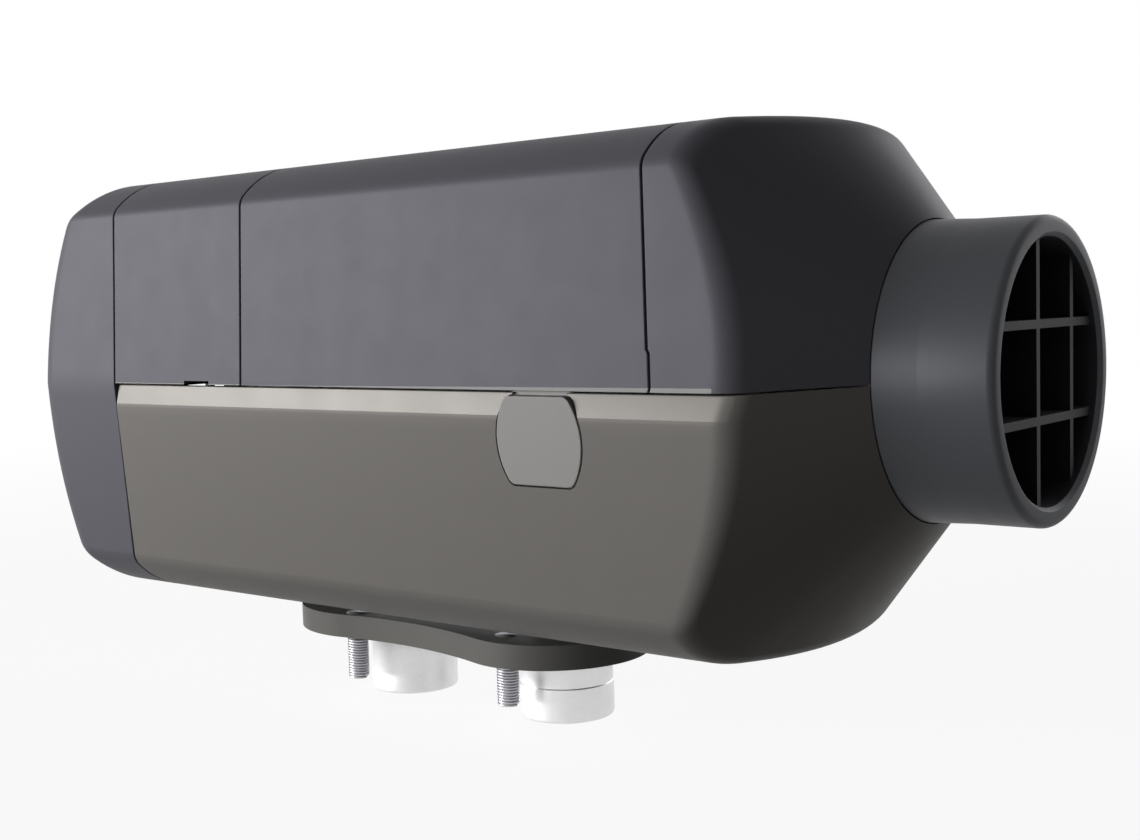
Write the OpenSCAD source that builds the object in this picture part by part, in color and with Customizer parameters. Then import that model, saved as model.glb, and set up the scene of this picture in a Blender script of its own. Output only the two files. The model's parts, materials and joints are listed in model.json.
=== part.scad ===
// Diesel air heater of the 2 kW class, as an assembly of its separate pieces.
// The air runs along +X: in through the cap, round the finned casting, out through the collar.
// The origin is the middle of the foot flange's sealing face, and Z points up.

/* [Housing] */
// Width of the housing at its parting line
body_w = 115; // [112:1:118]
// Height of the crown above the collar axis
crown_h = 57.3; // [56:0.5:59]
// Height of the housing's bottom over the foot's sealing face
foot_gap = 10.5; // [9.5:0.5:12]
// How far the parting line lies below the collar axis
split_drop = 1.8; // [1.4:0.1:3]
// Length of the middle jacket
jacket_len = 130.4; // [128:0.2:134]
// Length of the control unit's cover
ecu_len = 55; // [54:0.5:58]
// Length of the outlet hood's straight wall beside the jacket, at the parting line
hood_len = 19.5; // [18.5:0.5:22]
// From the foot's centre line back to the seam between cover and jacket
rear_seam = 28.9; // [28:0.1:31]
// Thickness of the moulded walls
wall = 2.2; // [1.8:0.1:2.6]
// Open joint between two mouldings
seam = 0.5; // [0.3:0.1:0.8]
// How far the upper walls lean in from the parting line to the shoulder
upper_lean = 2.4; // [1.5:0.1:3]
// How far the lower walls lean in from the flared band to the bottom corner
lower_lean = 3.5; // [2.5:0.1:4.5]
// Small radius of the shoulder
shoulder_r = 5; // [4:0.5:6]
// Large radius that runs from the shoulder to the flat crown
crown_r = 28; // [24:1:30]
// Small radius of the bottom corner
heel_r = 6; // [5:0.5:7]
// Large radius of the bottom corner
belly_r = 30; // [26:1:34]
// Height of the flared band under the parting line
band_h = 6; // [4:0.5:7]
// How far the band is set in at the parting line
band_in = 1.2; // [0.6:0.1:1.6]
// Height of the thin lip along the lower edge of jacket and hood
lip_h = 0.9; // [0.6:0.1:1.4]
// How far that lip stands out at its edge
lip_out = 0.5; // [0.3:0.1:0.7]
// Radius of the rounded corner between the walls and the nose
nose_r = 8; // [6:0.5:10]
// Length of the cap's wall at its longest, from the seam to the corner
cap_side = 38.7; // [37:0.1:40]
// Length of the cap over all, without the intake collar
cap_depth = 44.2; // [43:0.1:46]
// Radius of the cap's barrel shaped end, seen from the side
cap_barrel_r = 110; // [106:1:120]
// Radius of the rounded corner between the walls and the cap's end
cap_r = 10.5; // [8:0.5:12]

/* [Collars] */
// Outside diameter of the outlet collar where the duct is clamped
collar_d = 66.4; // [64:0.2:70]
// Outside diameter of the outlet collar at the nose
collar_base_d = 67.8; // [67:0.2:72]
// Length of the outlet collar in front of the nose
collar_len = 26; // [22:1:30]
// Length of the straight duct seat behind the rim
duct_seat = 16; // [12:1:20]
// Diameter of the collar's opening
mouth_d = 57.4; // [54:0.2:60]
// Outside diameter of the intake collar
intake_d = 64; // [60:0.2:65]
// Length of the intake collar outside the cap
intake_len = 12; // [10:1:16]
// Diameter of the intake collar's opening
intake_bore_d = 57; // [54:0.2:58]

/* [Foot] */
// Height of the collar axis above the foot's sealing face
axis_h = 75; // [74:0.5:78]
// Thickness of the foot flange
flange_t = 6.5; // [5.5:0.5:7]
// Distance from the foot's centre to each lobe's centre
lobe_x = 32; // [30:0.5:34]
// Radius of each lobe
lobe_r = 26; // [25:0.5:28]
// Radius of the hollow between the lobes
waist_r = 45; // [35:1:60]
// Distance between the studs along the heater
stud_pitch_x = 56; // [54:1:58]
// Distance between the studs across the heater
stud_pitch_y = 40; // [39:0.5:42]
// Thread diameter of the studs
stud_d = 6; // [5:1:6]
// Length of the studs below the flange
stud_out = 12; // [10:0.5:14]
// Distance between the two gas stubs
stub_pitch = 57; // [55:1:59]
// Outside diameter of the combustion air stub
air_stub_d = 25; // [24:0.5:26]
// Outside diameter of the exhaust stub
exhaust_d = 25.4; // [24:0.5:26]
// Length of both gas stubs below the flange
stub_out = 18; // [16:0.5:20]
// Wall of the gas stubs
stub_wall = 1.6; // [1.2:0.1:2]
// Outside diameter of the fuel pipe
fuel_d = 4; // [3.5:0.5:5]
// Length of the fuel pipe below the flange
fuel_out = 22; // [18:1:26]

/* [Burner and exchanger] */
// Gap between the fins and the housing
fin_clear = 2.8; // [2:0.2:4]
// Height of the fins
fin_h = 11; // [9:0.5:12]
// Length of the exchanger
exch_len = 106; // [100:1:108]
// Wall of the exchanger casting
exch_wall = 3; // [2.5:0.5:4]
// Number of fins round the casting
fin_count = 36; // [24:4:40]
// Thickness of one fin
fin_t = 1.8; // [1.4:0.1:2.2]
// Gas gap between the combustion chamber and the casting
gas_gap = 8; // [6:0.5:10]
// Length of the combustion chamber and its flame tube
chamber_len = 78; // [70:1:84]
// Thickness of the burner flange
burner_flange_t = 4; // [3:0.5:4.5]

/* [Blower] */
// Gap between the motor's ribs and the blower's screws
motor_gap = 6.1; // [5:0.1:8]
// Length of the motor
motor_len = 32; // [30:1:33]
// Diameter of the motor shaft
shaft_d = 5; // [4:0.5:6]
// How far the combustion blower's housing is set in from the fins
blower_in = 5; // [4:0.5:8]
// Length of the combustion blower's housing
blower_len = 18; // [17:1:19]
// Gap round the combustion air impeller
burn_clear = 3; // [2:0.5:5]
// Diameter of the heating air impeller
air_fan_d = 74; // [70:1:76]
// Length of the heating air impeller's hub
air_fan_len = 15; // [13:1:16]
// Number of blades of the heating air impeller
air_fan_blades = 9; // [7:1:11]
// Radial clearance of the shaft in its bearings
bearing_gap = 0.05; // [0.02:0.01:0.1]

/* [Hidden] */

$fn = 64;
cut = 1;
snug = 0.3;
half_w = body_w / 2;
belly_h = axis_h - foot_gap;
split_z = -split_drop;
collar_r = collar_d / 2;
base_r = collar_base_d / 2;
mouth_r = mouth_d / 2;

// Stations along X, from the foot's centre
cap_seam_x = -rear_seam - ecu_len;
jacket_x = -rear_seam;
hood_x = jacket_x + jacket_len;
nose_x = hood_x + hood_len;
nose_slope = 0.82;
base_x = nose_x + nose_slope * (half_w - base_r);
rim_x = base_x + collar_len;
cap_end_x = cap_seam_x - cap_depth;
intake_rim_x = cap_end_x - intake_len;

// Section of the housing, as [y, z] from the collar axis, set in by t
arc_steps = 4;
wall_steps = 5;
flat_steps = 3;
corner_steps = 5;

function arc(c, r, a0, a1, n) =
    [for (i = [0:n]) let (a = a0 + (a1 - a0) * i / n) c + r * [cos(a), sin(a)]];
function line(p, q, n) = [for (i = [0:n - 1]) p + (q - p) * i / n];
function rev(pts) = [for (i = [len(pts) - 1:-1:0]) pts[i]];
function flip(pts) = [for (p = rev(pts)) [-p.x, p.y]];
function inside(pts) = [for (i = [1:len(pts) - 2]) pts[i]];
function rest(pts) = [for (i = [1:len(pts) - 1]) pts[i]];

shoulder_y = half_w - upper_lean;
crown_c = [shoulder_y - shoulder_r + (shoulder_r - crown_r) * cos(45), crown_h - crown_r];
shoulder_c = crown_c + (crown_r - shoulder_r) * [cos(45), sin(45)];
heel_y = half_w - lower_lean;
belly_c = [heel_y - heel_r + (heel_r - belly_r) * cos(45), belly_r - belly_h];
heel_c = belly_c + (belly_r - heel_r) * [cos(45), -sin(45)];

// From the shoulder over to the middle of the crown
function crown(t) = concat(
    arc(shoulder_c, shoulder_r - t, 0, 45, arc_steps),
    rest(arc(crown_c, crown_r - t, 45, 90, 2 * arc_steps)),
    rest(line([crown_c.x, crown_h - t], [0, crown_h - t], flat_steps)),
    [[0, crown_h - t]]);
// From the bottom corner under to the middle of the bottom
function belly(t) = concat(
    arc(heel_c, heel_r - t, 0, -45, arc_steps),
    rest(arc(belly_c, belly_r - t, -45, -90, 2 * arc_steps)),
    rest(line([belly_c.x, t - belly_h], [0, t - belly_h], flat_steps)),
    [[0, t - belly_h]]);
function upper_wall(t, z) = line([half_w - t, z], [shoulder_y - t, shoulder_c.y], wall_steps);
lip_z = split_z + seam / 2;
function lower_wall(t, z) = line([half_w - t, z], [heel_y - t, heel_c.y], wall_steps);
// Upper mouldings: from one parting line over the crown to the other, with lip as the lip's reach
function upper_line(t, lip) =
    let (side = concat([[half_w - t + lip, lip_z]], upper_wall(t, lip_z + lip_h), crown(t)))
    concat(side, rest(flip(side)));
// Lower moulding, with its set-in edge above the flared band
function lower_line(t) =
    let (side = concat([[half_w - band_in - t, split_z - seam / 2]],
            lower_wall(t, split_z - band_h), belly(t)))
    concat(side, rest(flip(side)));
// End cap: one closed loop without a parting line
function cap_line(t) =
    let (side = concat(rev(belly(t)), rev(rest(lower_wall(t, split_z))),
            upper_wall(t, split_z), crown(t)))
    concat(side, inside(flip(side)));

// One meridian of an end: along the wall, round its corner at x_c, then straight in to a circle at x_to.
// d is +1 towards +X and -1 towards -X, and edge is the wall's own point where a lip stands out.
function meridian(p, x_from, x_c, x_to, r_end, r_corner, d, edge) =
    let (r = norm(p),
        phi = atan2(r - r_end, d * (x_to - x_c)),
        t_len = r_corner * tan(phi / 2),
        u = -p / r)
    concat([[x_from, edge.x, edge.y], [x_c - d * (t_len + lip_h), edge.x, edge.y]],
        [for (i = [0:corner_steps])
            let (a = phi * i / corner_steps, s = r_corner * (1 - cos(a)), q = p + s * u)
            [x_c + d * (r_corner * sin(a) - t_len), q.x, q.y]],
        [let (q = -r_end * u) [x_to, q.x, q.y]]);

// Where the walls meet the nose's cone, and where they meet the cap's barrel shaped end, set in by t
function nose_corner(p, x_to) = x_to - nose_slope * (norm(p) - base_r);
function cap_corner(p, t) = cap_seam_x - cap_side + t + cap_barrel_r
    - sqrt(cap_barrel_r * cap_barrel_r - pow(p.y + cap_barrel_drop, 2));

// A closed shell between two grids of points of the same size
module shell_patch(outer, inner, closed, turned) {
    n = len(outer);
    m = len(outer[0]);
    pts = [for (g = [outer, inner]) for (row = g) for (p = row) p];
    function id(g, i, j) = g * n * m + (i % n) * m + j;
    function quad(a, b, c, d) = turned ? [[a, c, b], [a, d, c]] : [[a, b, c], [a, c, d]];
    last = closed ? n - 1 : n - 2;
    faces = concat(
        [for (i = [0:last]) for (j = [0:m - 2])
            for (f = quad(id(0, i, j), id(0, i, j + 1), id(0, i + 1, j + 1), id(0, i + 1, j))) f],
        [for (i = [0:last]) for (j = [0:m - 2])
            for (f = quad(id(1, i, j), id(1, i + 1, j), id(1, i + 1, j + 1), id(1, i, j + 1))) f],
        [for (i = [0:last])
            for (f = quad(id(0, i, 0), id(0, i + 1, 0), id(1, i + 1, 0), id(1, i, 0))) f],
        [for (i = [0:last])
            for (f = quad(id(0, i, m - 1), id(1, i, m - 1), id(1, i + 1, m - 1), id(0, i + 1, m - 1))) f],
        closed ? [] : [for (j = [0:m - 2])
            for (f = quad(id(0, 0, j), id(1, 0, j), id(1, 0, j + 1), id(0, 0, j + 1))) f],
        closed ? [] : [for (j = [0:m - 2])
            for (f = quad(id(0, n - 1, j), id(0, n - 1, j + 1), id(1, n - 1, j + 1), id(1, n - 1, j))) f]);
    polyhedron(points = pts, faces = faces, convexity = 8);
}

// Moves a shape drawn round the collar axis to its height over the foot
module on_axis() { translate([0, 0, axis_h]) children(); }
// Draws a [y, z] outline and carries it from x0 to x1
module along_x(x0, x1) {
    translate([x0, 0, 0]) rotate([90, 0, 90]) linear_extrude(x1 - x0) children();
}
module rod_x(x0, x1, r) { translate([x0, 0, 0]) rotate([0, 90, 0]) cylinder(h = x1 - x0, r = r); }
module tube_x(x0, x1, r, bore) {
    difference() {
        rod_x(x0, x1, r);
        rod_x(x0 - cut, x1 + cut, bore);
    }
}
// Turns a profile of [radius, x] points round the shaft's axis
module turned_x(profile) { rotate([0, 90, 0]) rotate_extrude() polygon(profile); }
module box_at(x0, x1, y0, y1, z0, z1) {
    translate([x0, y0, z0]) cube([x1 - x0, y1 - y0, z1 - z0]);
}

// A ring of screws of one size, their heads towards d, round the shaft's axis
module screw_ring(x, d, pcr, count, shank_r, shank_len, head_r, head_h, turn) {
    for (i = [0:count - 1]) rotate([turn + 360 / count * i, 0, 0]) translate([x, 0, pcr])
        rotate([0, 90 * d, 0]) difference() {
            union() {
                translate([0, 0, -shank_len]) cylinder(h = shank_len + head_h / 2, r = shank_r);
                cylinder(h = head_h, r = head_r);
            }
            translate([0, 0, head_h / 2]) cylinder(h = head_h, r = head_r * key_share, $fn = 6);
        }
}
key_share = 0.5;

// Mouldings of the housing
plug_r = base_r - snug;
spigot_step = 0.6;
cap_plug_r = intake_d / 2 + spigot_step + snug;
cap_barrel_drop = 6.8;
module intake_cap() {
    x0 = cap_seam_x - seam / 2;
    outer = [for (p = cap_line(0))
        meridian(p, x0, cap_corner(p, 0), cap_end_x, cap_plug_r, cap_r, -1, p)];
    inner = [for (p = cap_line(wall))
        meridian(p, x0, cap_corner(p, wall), cap_end_x + wall, cap_plug_r, cap_r - wall, -1, p)];
    color([0.27, 0.27, 0.29]) on_axis() shell_patch(outer, inner, true, true);
}
// The ring that carries the intake grille, seated in the cap's opening
collar_lip = 2;
rim_round = 1.2;
cap_crown_slope = (cap_corner([0, crown_h], 0) - cap_end_x) / (crown_h - cap_plug_r);
cap_lip_x = cap_end_x + wall + cap_crown_slope * collar_lip + snug;
module intake_collar() {
    r = intake_d / 2;
    lip_r = cap_plug_r + collar_lip;
    color([0.2, 0.2, 0.21]) on_axis() turned_x(concat(
        [[intake_bore_d / 2, cap_lip_x + wall], [intake_bore_d / 2, intake_rim_x]],
        arc([r - rim_round, intake_rim_x + rim_round], rim_round, -90, 0, arc_steps),
        [[r, cap_end_x - snug], [r + spigot_step, cap_end_x - snug], [r + spigot_step, cap_lip_x],
            [lip_r, cap_lip_x], [lip_r, cap_lip_x + wall]]));
}
grille_t = 3;
grille_bar = 1.8;
// A round grille of crossed bars inside a rim
module round_grille(x0, x1, r, rim_t, ys, zs, bar) {
    tube_x(x0, x1, r, r - rim_t);
    intersection() {
        rod_x(x0, x1, r - rim_t / 2);
        union() {
            for (y = ys) box_at(x0, x1, y - bar / 2, y + bar / 2, -r, r);
            for (z = zs) box_at(x0, x1, -r, r, z - bar / 2, z + bar / 2);
        }
    }
}
intake_bars = 4;
module intake_grille() {
    r = intake_bore_d / 2 - snug;
    step = 2 * r / (intake_bars + 1);
    rows = [for (i = [1:intake_bars]) i * step - r];
    color([0.12, 0.12, 0.13]) on_axis()
        round_grille(intake_rim_x + grille_t, intake_rim_x + 2 * grille_t, r, grille_bar, rows, rows,
            grille_bar);
}
slot_from = 13.1;
slot_len = 10.4;
slot_h = 1.2;
module ecu_cover() {
    color([0.27, 0.27, 0.29]) on_axis() difference() {
        along_x(cap_seam_x + seam / 2, jacket_x - seam / 2)
            polygon(concat(upper_line(0, 0), rev(upper_line(wall, 0))));
        box_at(jacket_x - slot_from - slot_len, jacket_x - slot_from, -half_w - cut, -shoulder_y + 2 * wall,
            split_z - cut, split_z + slot_h);
    }
}
module upper_jacket() {
    color([0.27, 0.27, 0.29]) on_axis() along_x(jacket_x + seam / 2, hood_x - seam / 2)
        polygon(concat(upper_line(0, lip_out), rev(upper_line(wall, 0))));
}
inner_base_x = base_x - wall * (sqrt(1 + nose_slope * nose_slope));
module outlet_hood() {
    plain = upper_line(0, 0);
    lipped = upper_line(0, lip_out);
    hollow = upper_line(wall, 0);
    outer = [for (i = [0:len(plain) - 1])
        meridian(plain[i], hood_x + seam / 2, nose_corner(plain[i], base_x), base_x, base_r, nose_r, 1,
            lipped[i])];
    inner = [for (p = hollow)
        meridian(p, hood_x + seam / 2, nose_corner(p, inner_base_x), inner_base_x, base_r,
            nose_r - wall, 1, p)];
    color([0.27, 0.27, 0.29]) on_axis() shell_patch(outer, inner, false, false);
}
// Blanking cover in the shell's edge: a barrel shaped outline under the parting line
cover_x = 71.2;
cover_len = 24.1;
cover_h = 20.2;
cover_bulge_r = 17;
cover_corner_r = 2.4;
cover_drop = 1;
cover_gap = 0.35;
cover_mid_z = split_z - cover_drop - cover_h / 2;
function barrel(half_l, half_h, bulge_r, corner_r) =
    let (c = [half_l - bulge_r, 0],
        b = asin((half_h - corner_r) / (bulge_r - corner_r)),
        k = c + (bulge_r - corner_r) * [cos(b), sin(b)],
        q = concat(arc(c, bulge_r, 0, b, arc_steps), rest(arc(k, corner_r, b, 90, arc_steps))))
    concat(q, flip(q), rest([for (p = q) -p]), inside(concat([q[0]], [for (p = rev(q)) [p.x, -p.y]])));
// Draws the outline grown by g on the near wall, from y0 to y1
module cover_plate(y0, y1, g) {
    translate([cover_x, y1, cover_mid_z]) rotate([90, 0, 0]) linear_extrude(y1 - y0)
        polygon(barrel(cover_len / 2 + g, cover_h / 2 + g, cover_bulge_r, cover_corner_r + g));
}
neck_half_x = 46;
neck_half_y = 16.5;
module lower_shell() {
    x0 = cap_seam_x + seam / 2;
    outer = [for (p = lower_line(0))
        meridian(p, x0, nose_corner(p, base_x), base_x, base_r, nose_r, 1, p)];
    inner = [for (p = lower_line(wall))
        meridian(p, x0, nose_corner(p, inner_base_x), inner_base_x, base_r, nose_r - wall, 1, p)];
    color([0.34, 0.33, 0.32]) on_axis() difference() {
        shell_patch(outer, inner, false, true);
        // Opening for the neck of the foot
        translate([0, 0, -belly_h - cut]) linear_extrude(2 * cut + wall) neck_outline(seal_t);
        // Notch for the blanking cover
        cover_plate(-half_w - cut, -heel_y + 2 * wall, cover_gap);
        box_at(cover_x - cover_h / 2 + cover_corner_r, cover_x + cover_h / 2 - cover_corner_r, -half_w - cut,
            -heel_y + 2 * wall, cover_mid_z, split_z + cut);
        // Hole for the wiring grommet
        rotate([-90, 0, 0]) translate([grommet_x, grommet_drop, heel_y - 2 * wall])
            cylinder(h = 4 * wall, r = grommet_r);
    }
}
grommet_x = -70;
grommet_drop = 24;
grommet_r = 8;
seal_t = 3;
module neck_outline(grow) {
    for (s = [-1, 1]) translate([s * (neck_half_x - neck_half_y), 0]) circle(r = neck_half_y + grow);
    square([2 * (neck_half_x - neck_half_y), 2 * (neck_half_y + grow)], center = true);
}

// Air outlet
hood_lip_x = inner_base_x - nose_slope * collar_lip - snug - wall;
module outlet_collar() {
    color([0.2, 0.2, 0.21]) on_axis() turned_x(concat(
        [[mouth_r, hood_lip_x], [base_r + collar_lip, hood_lip_x],
            [base_r + collar_lip, hood_lip_x + wall], [plug_r, hood_lip_x + wall], [plug_r, base_x],
            [collar_r, rim_x - duct_seat]],
        arc([collar_r - rim_round, rim_x - rim_round], rim_round, 0, 90, arc_steps),
        [[mouth_r + mouth_bevel, rim_x], [mouth_r, rim_x - mouth_bevel]]));
}
mouth_bevel = 0.6;
blade_t = 2;
blade_len = 14;
blade_in = 2;
blade_ys_share = [-0.155, 0.53];
blade_zs_share = [0.36, -0.355];
guard_ys_share = [-0.62, 0.19, 0.8];
guard_zs_share = [0.72, 0, -0.72];
guard_t = 2;
guard_bar = 1.3;
// Front grille of deep flat blades
module outlet_grille() {
    r = mouth_r - snug;
    color([0.1, 0.1, 0.11]) on_axis() round_grille(rim_x - blade_in - blade_len, rim_x - blade_in, r,
        blade_t, r * blade_ys_share, r * blade_zs_share, blade_t);
}
// Thin guard behind the blades
module finger_guard() {
    r = mouth_r - snug;
    x1 = rim_x - blade_in - blade_len - snug;
    color([0.12, 0.12, 0.13]) on_axis() round_grille(x1 - guard_t, x1, r,
        blade_t, r * guard_ys_share, r * guard_zs_share, guard_bar);
}

// Fittings of the lower shell
module blanking_cover() {
    inner_y = -heel_y + wall;
    color([0.37, 0.36, 0.35]) on_axis() difference() {
        union() {
            cover_plate(-half_w - cover_proud, inner_y + snug, 0);
            // Rim that holds the cover behind the wall
            cover_plate(inner_y + snug, inner_y + snug + wall, cover_rim);
        }
        cover_plate(inner_y - wall / 2, inner_y + 2 * wall, -2 * cover_rim);
        box_at(cover_x - cover_len, cover_x + cover_len, -half_w, inner_y + 2 * wall,
            split_z - cover_drop + cover_proud, split_z + cover_h);
    }
}
cover_proud = 0.4;
cover_rim = 1.2;
module harness_grommet() {
    color([0.09, 0.09, 0.09]) on_axis() rotate([-90, 0, 0]) translate([grommet_x, grommet_drop, 0]) {
        translate([0, 0, heel_y - 2 * wall]) cylinder(h = 4 * wall, r = grommet_r - snug);
        translate([0, 0, half_w + snug]) cylinder(h = wall, r = grommet_r + wall);
    }
}

// Foot
waist_y = sqrt(pow(lobe_r + waist_r, 2) - lobe_x * lobe_x);
waist_a = atan2(waist_y, -lobe_x);
lobe_steps = 8 * arc_steps;
flange_line = concat(
    arc([lobe_x, 0], lobe_r, -waist_a, waist_a, lobe_steps),
    inside(arc([0, waist_y], waist_r, waist_a - 180, -waist_a, 2 * arc_steps)),
    arc([-lobe_x, 0], lobe_r, 180 - waist_a, 180 + waist_a, lobe_steps),
    inside(arc([0, -waist_y], waist_r, waist_a, 180 - waist_a, 2 * arc_steps)));
// The lobes stand a little askew, the front one towards the near side
lobe_turn = -6;
stub_shift = 3;
air_stub_x = stub_shift - stub_pitch / 2;
exhaust_x = stub_shift + stub_pitch / 2;
stub_seat = 6;
stub_step = 0.5;
stud_seat = 1.2;
shank_step = 0.5;
fuel_x = stub_shift;
fuel_y = 9;
module stud_places() {
    for (x = [-1, 1]) for (y = [-1, 1]) translate([x * stud_pitch_x / 2, y * stud_pitch_y / 2, 0]) children();
}
// A hole through the flange
module hole_down(x, y, r) { translate([x, y, -cut]) cylinder(h = flange_t + 2 * cut, r = r); }
module foot_flange() {
    color([0.2, 0.2, 0.2]) difference() {
        rotate(lobe_turn) linear_extrude(flange_t) polygon(flange_line);
        hole_down(air_stub_x, 0, air_stub_d / 2 + stub_step + snug);
        hole_down(exhaust_x, 0, exhaust_d / 2 + stub_step + snug);
        hole_down(fuel_x, fuel_y, fuel_d / 2 + ferrule_step + snug);
        stud_places() hole_down(0, 0, stud_d / 2 + shank_step);
    }
}
module foot_studs() {
    color([0.75, 0.75, 0.76]) stud_places() {
        translate([0, 0, -stud_out]) cylinder(h = stud_out + cut, r = stud_d / 2);
        // Knurled shank, pressed into the flange
        cylinder(h = flange_t + stud_seat, r = stud_d / 2 + shank_step);
    }
}
module gas_stub(x, d, step_z, step) {
    translate([x, 0, 0]) difference() {
        union() {
            translate([0, 0, -stub_out]) cylinder(h = stub_out + cut, r = d / 2);
            translate([0, 0, -stub_out]) cylinder(h = step_z, r = d / 2 + step);
            // Wider shank in the flange and the casting
            cylinder(h = flange_t + stub_seat, r = d / 2 + stub_step);
        }
        translate([0, 0, -stub_out - cut])
            cylinder(h = stub_out + flange_t + stub_seat + 2 * cut, r = d / 2 - stub_wall);
    }
}
cast_step = 0.2;
cast_step_z = 9;
module combustion_air_stub() {
    color([0.78, 0.78, 0.79]) gas_stub(air_stub_x, air_stub_d, cast_step, 0);
}
module exhaust_stub() {
    color([0.78, 0.78, 0.79]) gas_stub(exhaust_x, exhaust_d, cast_step_z, cast_step);
}
fuel_bore = 2;
ferrule_step = 0.6;
module fuel_pipe() {
    color([0.7, 0.7, 0.7]) translate([fuel_x, fuel_y, -fuel_out]) difference() {
        union() {
            cylinder(h = fuel_out + cut, r = fuel_d / 2);
            // Ferrule in the foot
            translate([0, 0, fuel_out]) cylinder(h = flange_t + stub_seat, r = fuel_d / 2 + ferrule_step);
        }
        translate([0, 0, -cut]) cylinder(h = fuel_out + flange_t + stub_seat + 2 * cut, r = fuel_bore / 2);
    }
}
seal_up = 1.5;
module neck_seal() {
    z0 = axis_h - belly_h - seal_up;
    color([0.08, 0.08, 0.08]) difference() {
        translate([0, 0, z0]) linear_extrude(wall + 2 * seal_up) neck_outline(seal_t - snug);
        translate([0, 0, z0 - cut]) linear_extrude(wall + 2 * seal_up + 2 * cut) neck_outline(snug);
    }
}

// Burner and heat exchanger
exch_x0 = -16;
exch_x1 = exch_x0 + exch_len;
fins_r = min(half_w - lower_lean, crown_h, belly_h) - wall - fin_clear;
exch_r = fins_r - fin_h;
neck_top = axis_h - exch_r + 2 * exch_wall;
fin_gap = 6;
plug_x = 10;
plug_turn = 28;
plug_boss_r = 7;
plug_boss_h = 5;
pad_x = 58;
pad_len = 22;
pad_half = 6;
pad_h = 2;
plug_a = asin((plug_boss_r + 2 * fin_t) / exch_r);
pad_a = asin((pad_half + 2 * fin_t) / exch_r);
fin_x0 = exch_x0 + fin_gap;
fin_x1 = exch_x1 - fin_gap;
function near(a, b, reach) = cos(a - b) > cos(reach);
// Where the fin at angle a runs along the casting, clear of the glow plug and the sensor
function fin_start(a) = near(a, -plug_turn, plug_a) ? exch_x0 + plug_x + plug_boss_r + 2 * fin_t : fin_x0;
function fin_runs(a) = near(a, 0, pad_a) ?
    [[fin_start(a), pad_x - fin_t], [pad_x + pad_len + fin_t, fin_x1]] : [[fin_start(a), fin_x1]];
module heat_exchanger() {
    color([0.62, 0.62, 0.63]) difference() {
        union() {
            on_axis() {
                rod_x(exch_x0, exch_x1, exch_r);
                // Fins along the air's way, in from the front end
                for (i = [0:fin_count - 1]) for (run = fin_runs(360 / fin_count * i))
                    rotate([360 / fin_count * i, 0, 0])
                        box_at(run[0], run[1], -fin_t / 2, fin_t / 2, exch_r - fin_t, fins_r);
                rod_x(exch_x0, exch_x0 + exch_wall, exch_r + exch_wall);
                plug_place(-exch_wall) cylinder(h = exch_wall + plug_boss_h, r = plug_boss_r);
                box_at(pad_x, pad_x + pad_len, -pad_half, pad_half, 0, exch_r + pad_h);
            }
            translate([0, 0, flange_t]) linear_extrude(neck_low) neck_outline(0);
            box_at(exch_x0, neck_half_x - neck_half_y, -neck_half_y, neck_half_y,
                flange_t + neck_low - cut, neck_top);
        }
        on_axis() plug_place(-exch_r) cylinder(h = 2 * fins_r, r = glow_r + snug);
        // Inside of the exchanger, open towards the burner
        on_axis() rod_x(exch_x0 - cut, exch_x1 - exch_wall, exch_r - exch_wall);
        // Seats of the stubs, the fuel pipe and the studs
        translate([air_stub_x, 0, flange_t - cut])
            cylinder(h = stub_seat + cut, r = air_stub_d / 2 + stub_step + snug);
        translate([exhaust_x, 0, flange_t - cut])
            cylinder(h = stub_seat + cut, r = exhaust_d / 2 + stub_step + snug);
        translate([exhaust_x, 0, flange_t])
            cylinder(h = axis_h - flange_t - exch_r + 2 * exch_wall, r = exhaust_d / 2 - stub_wall);
        translate([air_stub_x, 0, flange_t])
            cylinder(h = neck_low - exch_wall, r = air_stub_d / 2 - stub_wall);
        translate([fuel_x, fuel_y, flange_t - cut])
            cylinder(h = stub_seat + cut, r = fuel_d / 2 + ferrule_step + snug);
    }
}
neck_clear = 6.5;
neck_low = axis_h - flange_t - fins_r + blower_in - neck_clear;
// Draws upright on the exchanger's wall where the glow plug goes in
module plug_place(down) {
    rotate([-plug_turn, 0, 0]) translate([exch_x0 + plug_x, 0, exch_r + down]) children();
}
glow_r = 4;
glow_in = 22;
hex_r = 6;
hex_h = 5;
pin_r = 1.5;
pin_h = 5;
module glow_plug() {
    color([0.72, 0.7, 0.66]) on_axis() plug_place(0) {
        translate([0, 0, -glow_in]) cylinder(h = glow_in + plug_boss_h + snug, r = glow_r / 2);
        translate([0, 0, -exch_wall]) cylinder(h = exch_wall + plug_boss_h + snug, r = glow_r);
        translate([0, 0, plug_boss_h + snug]) cylinder(h = hex_h, r = hex_r, $fn = 6);
        translate([0, 0, plug_boss_h + hex_h]) cylinder(h = pin_h, r = pin_r);
    }
}
sensor_len = 14;
sensor_half = 4;
sensor_h = 6;
clip_t = 0.8;
module temperature_sensor() {
    z0 = exch_r + pad_h + snug;
    x0 = pad_x + (pad_len - sensor_len) / 2;
    color([0.85, 0.84, 0.8]) on_axis() {
        box_at(x0, x0 + sensor_len, -sensor_half, sensor_half, z0, z0 + sensor_h);
        rod_on(x0 - sensor_half, x0 + clip_t, z0 + sensor_h / 2, sensor_h / 4);
    }
}
module rod_on(x0, x1, z, r) { translate([0, 0, z]) rod_x(x0, x1, r); }
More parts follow.
